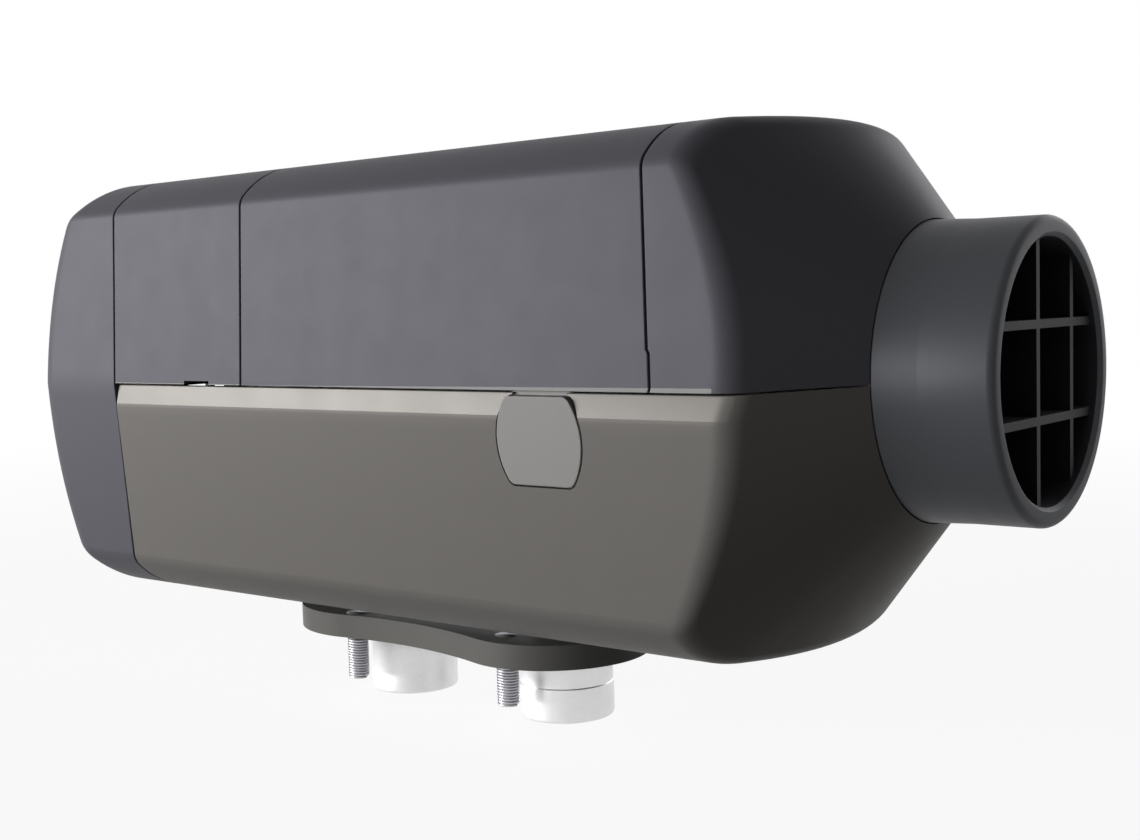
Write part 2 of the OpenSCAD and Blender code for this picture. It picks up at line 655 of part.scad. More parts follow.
module sensor_clip() {
    z0 = exch_r + pad_h + snug / 2;
    x0 = pad_x + (pad_len - sensor_len) / 2;
    top = z0 + sensor_h + snug;
    color([0.75, 0.75, 0.76]) on_axis() difference() {
        box_at(x0 + sensor_len / 3, x0 + 2 * sensor_len / 3, -pad_half, pad_half, z0, top + clip_t);
        box_at(x0, x0 + sensor_len, -sensor_half - snug, sensor_half + snug, z0 - cut, top);
        for (s = [0, 1]) mirror([0, s, 0])
            box_at(x0, x0 + sensor_len, sensor_half + snug + clip_t, pad_half + cut, z0 + clip_t,
                top + cut + clip_t);
    }
}
chamber_r = exch_r - exch_wall - gas_gap;
chamber_wall = 1.5;
module combustion_chamber() {
    x0 = exch_x0 + snug;
    color([0.5, 0.47, 0.44]) on_axis() {
        difference() {
            tube_x(x0, x0 + chamber_len, chamber_r, chamber_r - chamber_wall);
            plug_place(-exch_r) cylinder(h = exch_r, r = glow_r / 2 + snug);
        }
        tube_x(x0, x0 + exch_wall, exch_r - exch_wall - snug, chamber_r - cut);
        // Swirl plate with its central opening and ring of air holes
        difference() {
            rod_x(x0 + chamber_len / 3, x0 + chamber_len / 3 + exch_wall, chamber_r - chamber_wall / 2);
            rod_x(x0, x0 + chamber_len, chamber_r / 3);
            for (i = [0:air_holes - 1]) rotate([360 / air_holes * i, 0, 0])
                translate([x0, 0, chamber_r * air_ring_share]) rotate([0, 90, 0])
                    cylinder(h = chamber_len, r = chamber_wall);
        }
    }
}
air_holes = 12;
air_ring_share = 0.65;
gasket_t = 1;
gasket_x1 = exch_x0 - snug / 3;
gasket_x0 = gasket_x1 - gasket_t;
module chamber_gasket() {
    color([0.3, 0.3, 0.28]) on_axis()
        tube_x(gasket_x0, gasket_x1, exch_r + exch_wall - snug, exch_r - 2 * exch_wall);
}
flange_x1 = gasket_x0 - snug / 3;
flange_x0 = flange_x1 - burner_flange_t;
burner_r = exch_r + exch_wall;
screw_r = 2;
screw_head_r = 3.4;
screw_head_h = 3;
chamber_head_r = 2.4;
chamber_head_h = 2;
chamber_screw_count = 4;
chamber_pcr = exch_r - screw_r / 2;
module burner_flange() {
    color([0.6, 0.6, 0.61]) on_axis() difference() {
        rod_x(flange_x0, flange_x1, burner_r);
        for (i = [0:chamber_screw_count - 1]) rotate([360 / chamber_screw_count * i, 0, 0])
            translate([flange_x0 - cut, 0, chamber_pcr]) rotate([0, 90, 0])
                cylinder(h = burner_flange_t + 2 * cut, r = screw_r);
        // Air inlet into the chamber
        rod_x(flange_x0 - cut, flange_x1 + cut, chamber_r / 3);
    }
}
module chamber_screws() {
    color([0.7, 0.7, 0.7]) on_axis()
        screw_ring(flange_x0, -1, chamber_pcr, chamber_screw_count, screw_r - snug / 3,
            burner_flange_t, chamber_head_r, chamber_head_h, 0);
}

// Combustion air blower
blower_r = fins_r - blower_in;
blower_wall = 2.5;
cover_t = 3;
blower_x1 = flange_x0 - screw_head_h;
blower_x0 = blower_x1 - blower_len;
split_x = blower_x0 + cover_t;
blower_screw_count = 6;
blower_pcr = blower_r - blower_wall - screw_r;
blower_in_r = blower_pcr - screw_r - blower_wall;
burn_fan_r = blower_in_r - burn_clear;
shaft_r = shaft_d / 2;
shaft_hole_r = shaft_r + bearing_gap;
bearing_r = 8;
bearing_t = 5;
module blower_housing() {
    color([0.66, 0.66, 0.67]) on_axis() difference() {
        union() {
            rod_x(split_x + gasket_t, blower_x1, blower_r);
            // Spigot that blows into the burner flange
            rod_x(blower_x1 - cut, flange_x0 - snug / 3, chamber_r / 3 + blower_wall);
        }
        rod_x(split_x, blower_x1 - blower_wall, blower_in_r);
        rod_x(split_x, flange_x0, chamber_r / 3);
        for (i = [0:blower_screw_count - 1]) rotate([360 / blower_screw_count * i, 0, 0])
            translate([split_x, 0, blower_pcr]) rotate([0, 90, 0])
                cylinder(h = blower_len - cover_t - blower_wall, r = screw_r);
        // Port for the combustion air, towards the foot
        translate([(split_x + gasket_t + blower_x1 - blower_wall) / 2, 0, -blower_r - cut])
            cylinder(h = blower_r / 2, r = port_r);
    }
}
port_r = 4;
module blower_gasket() {
    color([0.1, 0.1, 0.1]) on_axis() difference() {
        rod_x(split_x + snug / 3, split_x + gasket_t - snug / 3, blower_r - snug);
        rod_x(split_x - cut, split_x + 2 * gasket_t, blower_in_r);
        for (i = [0:blower_screw_count - 1]) rotate([360 / blower_screw_count * i, 0, 0])
            translate([split_x - cut, 0, blower_pcr]) rotate([0, 90, 0])
                cylinder(h = 2 * cut + gasket_t, r = screw_r);
    }
}
module blower_cover() {
    color([0.66, 0.66, 0.67]) on_axis() difference() {
        rod_x(blower_x0, split_x, blower_r);
        rod_x(blower_x0 - cut, split_x + cut, shaft_r + snug);
        for (i = [0:blower_screw_count - 1]) rotate([360 / blower_screw_count * i, 0, 0])
            translate([blower_x0 - cut, 0, blower_pcr]) rotate([0, 90, 0])
                cylinder(h = cover_t + 2 * cut, r = screw_r);
    }
}
module blower_screws() {
    color([0.7, 0.7, 0.7]) on_axis()
        screw_ring(blower_x0 - snug / 3, -1, blower_pcr, blower_screw_count, screw_r - snug / 3,
            cover_t + gasket_t + blower_len / 3, screw_head_r, screw_head_h, 0);
}
motor_ribs = 6;
motor_reach = blower_pcr - screw_head_r - motor_gap;
motor_share = 0.733;
motor_r = motor_share * motor_reach;
motor_x1 = blower_x0 - snug / 3;
motor_x0 = motor_x1 - motor_len;
module motor_body() {
    color([0.55, 0.56, 0.57]) on_axis() difference() {
        union() {
            rod_x(motor_x0, motor_x1, motor_r);
            // Ribs that centre the motor on the blower's cover
            for (i = [0:motor_ribs - 1]) rotate([360 / motor_ribs * i, 0, 0])
                box_at(motor_x1 - motor_len / 2, motor_x1, -fin_t, fin_t, motor_r - fin_t, motor_reach);
        }
        rod_x(motor_x0 - cut, motor_x1 + cut, shaft_r + snug);
        rod_x(motor_x0 - cut, motor_x0 + bearing_t, bearing_r + snug / 6);
        rod_x(motor_x1 - bearing_t, motor_x1 + cut, bearing_r + snug / 6);
    }
}
module bearing(x0) {
    color([0.8, 0.8, 0.82]) on_axis() difference() {
        rod_x(x0, x0 + bearing_t - snug, bearing_r);
        rod_x(x0 - cut, x0 + bearing_t + cut, shaft_hole_r);
        // Shield groove on each side
        for (x = [x0 - cut, x0 + bearing_t - snug - groove_t]) difference() {
            rod_x(x, x + cut + groove_t, bearing_r * shield_out_share);
            rod_x(x - cut, x + 3 * cut, bearing_r * shield_in_share);
        }
    }
}
groove_t = 0.4;
shield_out_share = 0.8;
shield_in_share = 0.5;
module front_bearing() { bearing(motor_x1 - bearing_t + snug); }
module rear_bearing() { bearing(motor_x0); }

// Rotor: shaft, two impellers and the speed magnet
fan_gap = 6;
fan_x1 = motor_x0 - fan_gap;
fan_x0 = fan_x1 - air_fan_len;
module rotor_shaft() {
    color([0.8, 0.8, 0.82]) on_axis()
        rod_x(fan_x0 + shaft_r, blower_x1 - blower_wall - snug - shaft_r, shaft_r);
}
hub_r = 11;
blade_fan_t = 1.2;
blade_pitch = 38;
module heater_air_impeller() {
    color([0.16, 0.16, 0.17]) on_axis() {
        difference() {
            union() {
                rod_x(fan_x0, fan_x1, hub_r);
                intersection() {
                    tube_x(fan_x0, fan_x1, air_fan_d / 2, hub_r - blade_fan_t);
                    for (i = [0:air_fan_blades - 1]) rotate([360 / air_fan_blades * i, 0, 0])
                        translate([(fan_x0 + fan_x1) / 2, 0, 0]) rotate([0, 0, blade_pitch])
                            box_at(-air_fan_len, air_fan_len, -blade_fan_t / 2, blade_fan_t / 2, 0,
                                air_fan_d);
                }
            }
            rod_x(fan_x0 - cut, fan_x1 + cut, shaft_r + snug / 6);
        }
    }
}
burn_fan_x1 = blower_x1 - blower_wall - 2 * cut;
burn_fan_x0 = split_x + gasket_t + cut;
burn_blades = 16;
module combustion_impeller() {
    color([0.3, 0.3, 0.31]) on_axis() difference() {
        union() {
            rod_x(burn_fan_x0, burn_fan_x0 + fin_t, burn_fan_r);
            rod_x(burn_fan_x0, burn_fan_x1, 2 * shaft_r);
            for (i = [0:burn_blades - 1]) rotate([360 / burn_blades * i, 0, 0])
                box_at(burn_fan_x0, burn_fan_x1, -blade_fan_t / 2, blade_fan_t / 2,
                    burn_fan_r / 2, burn_fan_r);
        }
        rod_x(burn_fan_x0 - cut, burn_fan_x1 + cut, shaft_r + snug / 6);
    }
}
magnet_t = 2;
module impeller_magnet() {
    color([0.2, 0.2, 0.22]) on_axis()
        tube_x(fan_x1 + snug / 3, fan_x1 + magnet_t, hub_r / 2, shaft_r + snug / 6);
}

// Control unit under its own cover
plug_count = 3;
plug_w = 14;
plug_h_share = 0.55;
plug_d = 8;
ecu_side = 19.5;
ecu_half = half_w - ecu_side;
ecu_z0 = motor_reach + snug;
cradle_y = motor_reach * sin(60);
ecu_top = 4.7;
ecu_r = 3;
ecu_x0 = cap_seam_x + 2 * wall;
ecu_x1 = blower_x0 - screw_head_h - plug_d / 2 - cut;
lid_t = 2;
ecu_h = crown_h - wall - ecu_z0 - lid_t - ecu_top;
plug_h = ecu_h * plug_h_share;
module ecu_plan(grow) {
    w = ecu_x1 - ecu_x0 + 2 * grow;
    for (x = [ecu_x0 - grow + ecu_r, ecu_x1 + grow - ecu_r]) for (s = [-1, 1])
        translate([x, s * (ecu_half + grow - ecu_r)]) circle(r = ecu_r);
    translate([ecu_x0 - grow, -ecu_half - grow + ecu_r]) square([w, 2 * (ecu_half + grow - ecu_r)]);
    translate([ecu_x0 - grow + ecu_r, -ecu_half - grow]) square([w - 2 * ecu_r, 2 * (ecu_half + grow)]);
}
module ecu_box() {
    color([0.15, 0.15, 0.16]) on_axis() difference() {
        union() {
            translate([0, 0, ecu_z0]) linear_extrude(ecu_h) ecu_plan(0);
            // Cradle that sits on the motor's ribs
            difference() {
                for (s = [-1, 1])
                    box_at(ecu_x0 + ecu_r, ecu_x1 - ecu_r, s * cradle_y - fin_t, s * cradle_y + fin_t, 0,
                        ecu_z0 + cut);
                rod_x(ecu_x0, ecu_x1, motor_reach + snug);
            }
        }
        translate([0, 0, ecu_z0 + lid_t]) linear_extrude(ecu_h) ecu_plan(-lid_t);
    }
}
module ecu_lid() {
    color([0.2, 0.2, 0.21]) on_axis() {
        translate([0, 0, ecu_z0 + ecu_h + snug / 3]) linear_extrude(lid_t) ecu_plan(0);
        translate([0, 0, ecu_z0 + ecu_h - lid_t]) linear_extrude(lid_t + snug) ecu_plan(-lid_t - snug);
    }
}
module ecu_connectors() {
    step = plug_w + 2 * wall;
    color([0.85, 0.84, 0.8]) on_axis() for (i = [0:plug_count - 1]) {
        y = (i - (plug_count - 1) / 2) * step;
        difference() {
            box_at(ecu_x1 + snug / 3, ecu_x1 + plug_d / 2, y - plug_w / 2, y + plug_w / 2,
                ecu_z0 + lid_t, ecu_z0 + lid_t + plug_h);
            box_at(ecu_x1 + lid_t, ecu_x1 + plug_d, y - plug_w / 2 + lid_t / 2, y + plug_w / 2 - lid_t / 2,
                ecu_z0 + 1.5 * lid_t, ecu_z0 + lid_t / 2 + plug_h);
        }
    }
}

intake_cap();
intake_collar();
intake_grille();
ecu_cover();
upper_jacket();
outlet_hood();
lower_shell();
outlet_collar();
outlet_grille();
finger_guard();
blanking_cover();
harness_grommet();
foot_flange();
foot_studs();
combustion_air_stub();
exhaust_stub();
fuel_pipe();
neck_seal();
heat_exchanger();
combustion_chamber();
burner_flange();
chamber_gasket();
chamber_screws();
glow_plug();
temperature_sensor();
sensor_clip();
blower_housing();
blower_cover();
blower_gasket();
blower_screws();
motor_body();
front_bearing();
rear_bearing();
rotor_shaft();
combustion_impeller();
heater_air_impeller();
impeller_magnet();
ecu_box();
ecu_lid();
ecu_connectors();
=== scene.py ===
# Looks of the diesel air heater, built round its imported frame.
# Lengths are millimetres in the part's own frame: X runs along the air's way, Z points up, and the
# origin is the middle of the foot's sealing face. The mesh makers below turn them into metres.
import json
import math

import bmesh
import bpy
from mathutils import Euler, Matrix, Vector


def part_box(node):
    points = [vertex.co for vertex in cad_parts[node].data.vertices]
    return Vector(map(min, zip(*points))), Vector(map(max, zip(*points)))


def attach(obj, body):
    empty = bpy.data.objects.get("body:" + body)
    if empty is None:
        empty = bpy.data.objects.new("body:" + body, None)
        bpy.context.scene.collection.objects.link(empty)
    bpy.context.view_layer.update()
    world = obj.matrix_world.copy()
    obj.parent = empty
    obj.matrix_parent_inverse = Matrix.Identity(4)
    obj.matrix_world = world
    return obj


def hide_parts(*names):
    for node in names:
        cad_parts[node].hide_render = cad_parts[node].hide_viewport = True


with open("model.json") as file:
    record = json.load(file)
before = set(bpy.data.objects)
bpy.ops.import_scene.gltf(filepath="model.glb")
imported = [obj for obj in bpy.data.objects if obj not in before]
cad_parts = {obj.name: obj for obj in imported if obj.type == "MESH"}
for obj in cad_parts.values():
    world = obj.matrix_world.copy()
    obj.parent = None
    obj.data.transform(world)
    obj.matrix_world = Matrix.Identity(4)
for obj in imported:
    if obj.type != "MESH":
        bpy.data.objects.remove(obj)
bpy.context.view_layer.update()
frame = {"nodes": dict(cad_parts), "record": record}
MM = 0.001


def low(node):
    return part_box(node)[0] / MM


def high(node):
    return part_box(node)[1] / MM


# Sizes of the housing, taken from the frame
AXIS_H = (low("outlet_collar").z + high("outlet_collar").z) / 2
HALF_W = high("ecu_cover").y
CROWN_H = high("upper_jacket").z - AXIS_H
BELLY_H = AXIS_H - low("lower_shell").z
SEAM = low("ecu_cover").x - high("intake_cap").x
CAP_SEAM_X = high("intake_cap").x + SEAM / 2
JACKET_X = high("ecu_cover").x + SEAM / 2
HOOD_X = high("upper_jacket").x + SEAM / 2
CAP_END_X = low("intake_cap").x
BASE_X = high("outlet_hood").x
RIM_X = high("outlet_collar").x
INTAKE_RIM_X = low("intake_collar").x
FLANGE_T = high("foot_flange").z
FLOOR_Z = low("fuel_pipe").z

# Forms of the housing that the frame's boxes don't tell, heights from the collar axis
SPLIT_Z = -1.8
WALL = 2.2
UPPER_LEAN = 2.4
LOWER_LEAN = 3.5
SHOULDER_R = 5
CROWN_R = 28
HEEL_R = 6
BELLY_R = 30
BAND_H = 6
BAND_IN = 1.2
LIP_OUT = 0.5
LIP_START_X = -28
LIP_MID_X = 51
LIP_MID_H = 0.6
LIP_END_X = 121
LIP_END_H = 1.0
LIP_LEAST_H = 0.02
BAND_EDGE = 0.5
NOSE_R = 8
NOSE_SLOPE = 0.82
CAP_R = 10.5
CAP_SIDE = 38.7
CAP_BARREL_R = 110
CAP_BARREL_DROP = 6.8
COLLAR_LIP = 2
COLLAR_BASE_R = 33.9
COLLAR_R = 33.2
MOUTH_R = 28.7
DUCT_SEAT = 16
INTAKE_R = 32
INTAKE_BORE_R = 28.5
INTAKE_STEP = 0.6
COLLAR_ROOT = 4
SNUG = 0.3

# How finely the forms are divided
ARC_STEPS = 10
WALL_STEPS = 14
FLAT_STEPS = 8
SHELL_STEPS = 24
CORNER_STEPS = 12
EDGE_STEPS = 3
TURN_STEPS = 128

# Small forms that only the looks have
EDGE_R = 0.35
SHARP_ANGLE = 22
SEAM_LEAN = 0.045
JOG = 0.45
JOG_TOP = 7
JOG_SLANT = 0.4
SAG_ANGLE = 4
LIP_HIGHLIGHT_SLACK = 0.1
GLOSS_VARY = 0.05


def srgb(r, g, b):
    """A colour of 8-bit screen tones as the linear colour that shaders take."""
    def linear(tone):
        tone = tone / 255
        return tone / 12.92 if tone <= 0.04045 else ((tone + 0.055) / 1.055) ** 2.4
    return (linear(r), linear(g), linear(b), 1)


# Mesh makers
def finish_mesh(name, bm, body, material, node, bevel=0):
    """Turns a closed bmesh into the piece that replaces node, with edges rounded by bevel."""
    if bm.calc_volume(signed=True) < 0:
        bmesh.ops.reverse_faces(bm, faces=bm.faces)
    for face in bm.faces:
        face.smooth = True
    mesh = bpy.data.meshes.new(name)
    bm.to_mesh(mesh)
    bm.free()
    piece = bpy.data.objects.new(name, mesh)
    bpy.context.scene.collection.objects.link(piece)
    mesh.materials.append(material)
    if bevel:
        soften(piece, bevel)
    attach(piece, body)
    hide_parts(node)
    return piece


def soften(piece, width, angle=40, segments=3):
    """Rounds a piece's sharp edges and lets its flat faces shade flat."""
    bevel = piece.modifiers.new("Rounded edges", "BEVEL")
    bevel.width = width * MM
    bevel.segments = segments
    bevel.limit_method = "ANGLE"
    bevel.angle_limit = math.radians(angle)
    bevel.use_clamp_overlap = True
    weights = piece.modifiers.new("Flat faces", "WEIGHTED_NORMAL")
    weights.weight = 80
    weights.keep_sharp = False


def sharpen(piece):
    """Keeps steep edges sharp and lets large flat faces shade flat."""
    piece.data.set_sharp_from_angle(angle=math.radians(SHARP_ANGLE))
    weights = piece.modifiers.new("Flat faces", "WEIGHTED_NORMAL")
    weights.weight = 80
    weights.keep_sharp = True


def add_points(bm, points):
    return [bm.verts.new(Vector(p) * MM) for p in points]


def add_grid(bm, rows, closed):
    """Faces between neighbouring rows of vertices, and back to the first row where closed."""
    count = len(rows)
    for i in range(count if closed else count - 1):
        here, there = rows[i], rows[(i + 1) % count]
        for j in range(len(here) - 1):
            bm.faces.new((here[j], here[j + 1], there[j + 1], there[j]))


def shell(outer, inner, closed):
    """A moulded wall between two grids of points. A grid is rows along the section, points along X."""
    bm = bmesh.new()
    out_rows = [add_points(bm, row) for row in outer]
    in_rows = [add_points(bm, row) for row in inner]
    add_grid(bm, out_rows, closed)
    add_grid(bm, [row[::-1] for row in in_rows], closed)
    for end in (0, -1):
        edge = [[a[end], b[end]] for a, b in zip(out_rows, in_rows)]
        add_grid(bm, edge if end else [pair[::-1] for pair in edge], closed)
    if not closed:
        for side in (0, -1):
            pairs = [[a, b] for a, b in zip(out_rows[side], in_rows[side])]
            add_grid(bm, [pair[::-1] for pair in pairs] if side else pairs, False)
    return bm


def turned(profile, centre, axis, steps=TURN_STEPS):
    """A closed profile of (radius, along) points, turned round the X, Y or Z axis through centre."""
    bm = bmesh.new()
    rows = []
    for i in range(steps):
        a = 2 * math.pi * i / steps
        row = []
        for r, along in profile + profile[:1]:
            u, v = r * math.cos(a), r * math.sin(a)
            place = {"x": (along, u, v), "y": (u, along, v), "z": (u, v, along)}[axis]
            row.append(Vector(place) + Vector(centre))
        rows.append(add_points(bm, row))
    add_grid(bm, rows, True)
    bmesh.ops.remove_doubles(bm, verts=bm.verts, dist=0.001 * MM)
    bmesh.ops.recalc_face_normals(bm, faces=bm.faces)
    return bm


def stacked(rings):
    """A solid from closed rings of points, one above the other, capped at both ends."""
    bm = bmesh.new()
    rows = [add_points(bm, ring) for ring in rings]
    for here, there in zip(rows, rows[1:]):
        for j in range(len(here)):
            k = (j + 1) % len(here)
            bm.faces.new((here[j], here[k], there[k], there[j]))
    bm.faces.new(rows[0][::-1])
    bm.faces.new(rows[-1])
    bmesh.ops.recalc_face_normals(bm, faces=bm.faces)
    return bm


def filleted(corners, steps=4):
    """A closed outline from (u, v, radius) corners, each rounded by its radius."""
    outline = []
    count = len(corners)
    for i, (u, v, r) in enumerate(corners):
        here = Vector((u, v))
        before = Vector(corners[i - 1][:2]) - here
        after = Vector(corners[(i + 1) % count][:2]) - here
        if not r:
            outline.append((u, v))
            continue
        before.normalize()
        after.normalize()
        half = before.angle(after) / 2
        centre = here + (before + after).normalized() * r / math.sin(half)
        start = here + before * r / math.tan(half) - centre
        swing = before.angle_signed(-after)
        for k in range(steps + 1):
            turn = -swing * k / steps
            c, s = math.cos(turn), math.sin(turn)
            p = centre + Vector((start.x * c - start.y * s, start.x * s + start.y * c))
            outline.append((p.x, p.y))
    return outline


def arc(centre, r, start, end, steps):
    return [(centre[0] + r * math.cos(math.radians(start + (end - start) * i / steps)),
             centre[1] + r * math.sin(math.radians(start + (end - start) * i / steps)))
            for i in range(steps + 1)]


def line(p, q, steps):
    """Points from p up to, but without, q."""
    return [(p[0] + (q[0] - p[0]) * i / steps, p[1] + (q[1] - p[1]) * i / steps) for i in range(steps)]


def cut_away(piece, cutters, operation="DIFFERENCE"):
    """Cuts closed meshes out of a piece, or joins them to it, and keeps the result as its mesh."""
    for cutter in cutters:
        tool = bpy.data.objects.new("cutter", bpy.data.meshes.new("cutter"))
        cutter.to_mesh(tool.data)
        cutter.free()
        bpy.context.scene.collection.objects.link(tool)
        boolean = piece.modifiers.new("Cut", "BOOLEAN")
        boolean.operation = operation
        boolean.solver = "EXACT"
        boolean.object = tool
    piece.modifiers.update()
    cuts = [m for m in piece.modifiers if m.type == "BOOLEAN"]
    others = [m for m in piece.modifiers if m.type != "BOOLEAN"]
    for modifier in others:
        modifier.show_viewport = False
    evaluated = piece.evaluated_get(bpy.context.evaluated_depsgraph_get())
    piece.data = bpy.data.meshes.new_from_object(evaluated)
    for modifier in cuts:
        tool = modifier.object
        piece.modifiers.remove(modifier)
        bpy.data.objects.remove(tool)
    for modifier in others:
        modifier.show_viewport = True


# Finishes
def grained(name, colour, rough, grain, bump, spec=0.03, metallic=0.0, vary=0.05, blotch=9.0):
    """A surface with a fine grain (in millimetres), a slow change of colour and an uneven gloss."""
    material = bpy.data.materials.new(name)
    material.use_nodes = True
    tree = material.node_tree
    shader = tree.nodes["Principled BSDF"]
    shader.inputs["Metallic"].default_value = metallic
    shader.inputs["Specular IOR Level"].default_value = spec
    place = tree.nodes.new("ShaderNodeTexCoord")
    scale = tree.nodes.new("ShaderNodeMapping")
    scale.inputs["Scale"].default_value = (1 / MM, 1 / MM, 1 / MM)
    tree.links.new(place.outputs["Object"], scale.inputs["Vector"])
    fine = noise(tree, scale, 1 / grain, 2.0)
    slow = noise(tree, scale, 1 / blotch, 3.0)
    shade = tree.nodes.new("ShaderNodeMix")
    shade.data_type = "RGBA"
    shade.inputs["A"].default_value = tuple(c * (1 - vary) for c in colour[:3]) + (1,)
    shade.inputs["B"].default_value = tuple(min(1, c * (1 + vary)) for c in colour[:3]) + (1,)
    blend = tree.nodes.new("ShaderNodeMath")
    blend.operation = "MULTIPLY_ADD"
    blend.inputs[1].default_value = 0.5
    tree.links.new(fine, blend.inputs[0])
    half = tree.nodes.new("ShaderNodeMath")
    half.operation = "MULTIPLY"
    half.inputs[1].default_value = 0.5
    tree.links.new(slow, half.inputs[0])
    tree.links.new(half.outputs[0], blend.inputs[2])
    tree.links.new(blend.outputs[0], shade.inputs["Factor"])
    tree.links.new(shade.outputs["Result"], shader.inputs["Base Color"])
    gloss = tree.nodes.new("ShaderNodeMapRange")
    gloss.inputs["To Min"].default_value = rough - GLOSS_VARY
    gloss.inputs["To Max"].default_value = rough + GLOSS_VARY
    tree.links.new(slow, gloss.inputs["Value"])
    tree.links.new(gloss.outputs["Result"], shader.inputs["Roughness"])
    relief = tree.nodes.new("ShaderNodeBump")
    relief.inputs["Distance"].default_value = bump * MM
    relief.inputs["Strength"].default_value = 1
    tree.links.new(fine, relief.inputs["Height"])
    tree.links.new(relief.outputs["Normal"], shader.inputs["Normal"])
    return material


def noise(tree, scale, frequency, detail):
    texture = tree.nodes.new("ShaderNodeTexNoise")
    texture.inputs["Scale"].default_value = frequency
    texture.inputs["Detail"].default_value = detail
    tree.links.new(scale.outputs["Vector"], texture.inputs["Vector"])
    return texture.outputs["Fac"]


FINISHES = {
    "upper_plastic": grained("Cool grey moulded plastic", srgb(106, 105, 112), 0.46, 0.5, 0.012,
                             metallic=0.08),
    "lower_plastic": grained("Warm grey moulded plastic", srgb(132, 129, 126), 0.46, 0.5, 0.010,
                             metallic=0.065),
    "collar_plastic": grained("Satin collar plastic", srgb(86, 87, 91), 0.42, 0.6, 0.006, metallic=0.28),
    "grille_plastic": grained("Black grille plastic", srgb(26, 26, 28), 0.55, 0.6, 0.010, spec=0.12),
    "cover_plastic": grained("Plain cover plastic", srgb(168, 166, 165), 0.5, 0.45, 0.008,
                             metallic=0.08),
    "rubber": grained("Black rubber", srgb(38, 38, 38), 0.8, 0.4, 0.015, spec=0.3),
    "foot_coating": grained("Dark coated foot", srgb(122, 121, 118), 0.4, 0.5, 0.008, metallic=0.08),
    "plated_steel": grained("Zinc plated steel", srgb(204, 204, 208), 0.34, 0.8, 0.006, metallic=0.75),
    "bare_aluminium": grained("Bare cast aluminium", srgb(248, 248, 249), 0.42, 0.7, 0.02,
                              metallic=0.75, spec=0.3, vary=0.12, blotch=3.5),
    "cast_aluminium": grained("Die-cast aluminium", srgb(168, 168, 170), 0.5, 0.7, 0.03, metallic=0.6,
                              spec=0.5),
    "heat_steel": grained("Heat tinted steel", srgb(150, 132, 116), 0.35, 2.5, 0.01, metallic=0.9,
                          vary=0.2),
    "graphite_gasket": grained("Graphite gasket", srgb(70, 70, 70), 0.75, 0.4, 0.02, spec=0.3),
    "plug_steel": grained("Nickel plated steel", srgb(196, 192, 184), 0.28, 0.8, 0.004, metallic=0.9),
    "ceramic": grained("White ceramic", srgb(226, 222, 212), 0.4, 0.5, 0.004, spec=0.5),
    "spring_steel": grained("Spring steel", srgb(178, 180, 184), 0.25, 0.8, 0.003, metallic=0.95),
    "motor_steel": grained("Rolled motor casing", srgb(172, 172, 174), 0.32, 1.2, 0.006, metallic=0.9),
    "bearing_steel": grained("Ground bearing steel", srgb(208, 208, 210), 0.18, 1.0, 0.002, metallic=1.0),
    "fan_plastic": grained("Black fan plastic", srgb(58, 58, 60), 0.48, 0.5, 0.008, spec=0.35),
    "magnet": grained("Sintered magnet", srgb(84, 84, 90), 0.35, 0.4, 0.01, metallic=0.6),
    "ecu_plastic": grained("Control unit plastic", srgb(62, 62, 66), 0.55, 0.5, 0.012, spec=0.3),
    "connector_plastic": grained("Ivory connector plastic", srgb(224, 218, 204), 0.45, 0.6, 0.004,
                                spec=0.5),
}
BAND_FINISH = grained("Smooth band of the shell", srgb(130, 127, 123), 0.36, 0.5, 0.002, metallic=0.17,
                      vary=0.02)
GUARD_FINISH = grained("Grey guard plastic", srgb(92, 92, 96), 0.5, 0.6, 0.010, metallic=0.25)
# The lip is the shell's own plastic; this bright colour is a painted highlight for its upward faces.
LIP_HIGHLIGHT_FINISH = grained("Lip with painted highlight", srgb(205, 204, 203), 0.45, 0.5, 0.004)


# The housing's section, as (y, z) from the collar axis, set in by t
def section_corner(y, height, r_small, r_large, up):
    """Centres of the small and the large arc that lead from a wall to the crown or the bottom."""
    k = math.cos(math.radians(45))
    sag = math.radians(SAG_ANGLE)
    y_large = y - r_small + (r_small - r_large) * k
    edge = height - (y_large + r_large * math.sin(sag)) * math.tan(sag) / 2
    large = (y_large, up * (edge - r_large * math.cos(sag)))
    small = (large[0] + (r_large - r_small) * k, large[1] + up * (r_large - r_small) * k)
    return small, large


def arched(centre, r, up):
    """From the large arc's end over the slightly arched middle to y 0."""
    sag = math.radians(SAG_ANGLE)
    y_end = centre[0] + r * math.sin(sag)
    top = centre[1] + up * (r * math.cos(sag) + y_end * math.tan(sag) / 2)
    places = [y_end * (1 - i / FLAT_STEPS) for i in range(1, FLAT_STEPS + 1)]
    return [(y, top - up * y * y * math.tan(sag) / (2 * y_end)) for y in places]


SHOULDER_Y = HALF_W - UPPER_LEAN
HEEL_Y = HALF_W - LOWER_LEAN
SHOULDER_C, CROWN_C = section_corner(SHOULDER_Y, CROWN_H, SHOULDER_R, CROWN_R, 1)
HEEL_C, BELLY_C = section_corner(HEEL_Y, BELLY_H, HEEL_R, BELLY_R, -1)
LIP_Z = SPLIT_Z + SEAM / 2


def crown(t):
    return (arc(SHOULDER_C, SHOULDER_R - t, 0, 45, ARC_STEPS)
            + arc(CROWN_C, CROWN_R - t, 45, 90 - SAG_ANGLE, 2 * ARC_STEPS)[1:]
            + arched(CROWN_C, CROWN_R - t, 1))


def belly(t):
    return (arc(HEEL_C, HEEL_R - t, 0, -45, ARC_STEPS)
            + arc(BELLY_C, BELLY_R - t, -45, SAG_ANGLE - 90, 2 * ARC_STEPS)[1:]
            + arched(BELLY_C, BELLY_R - t, -1))


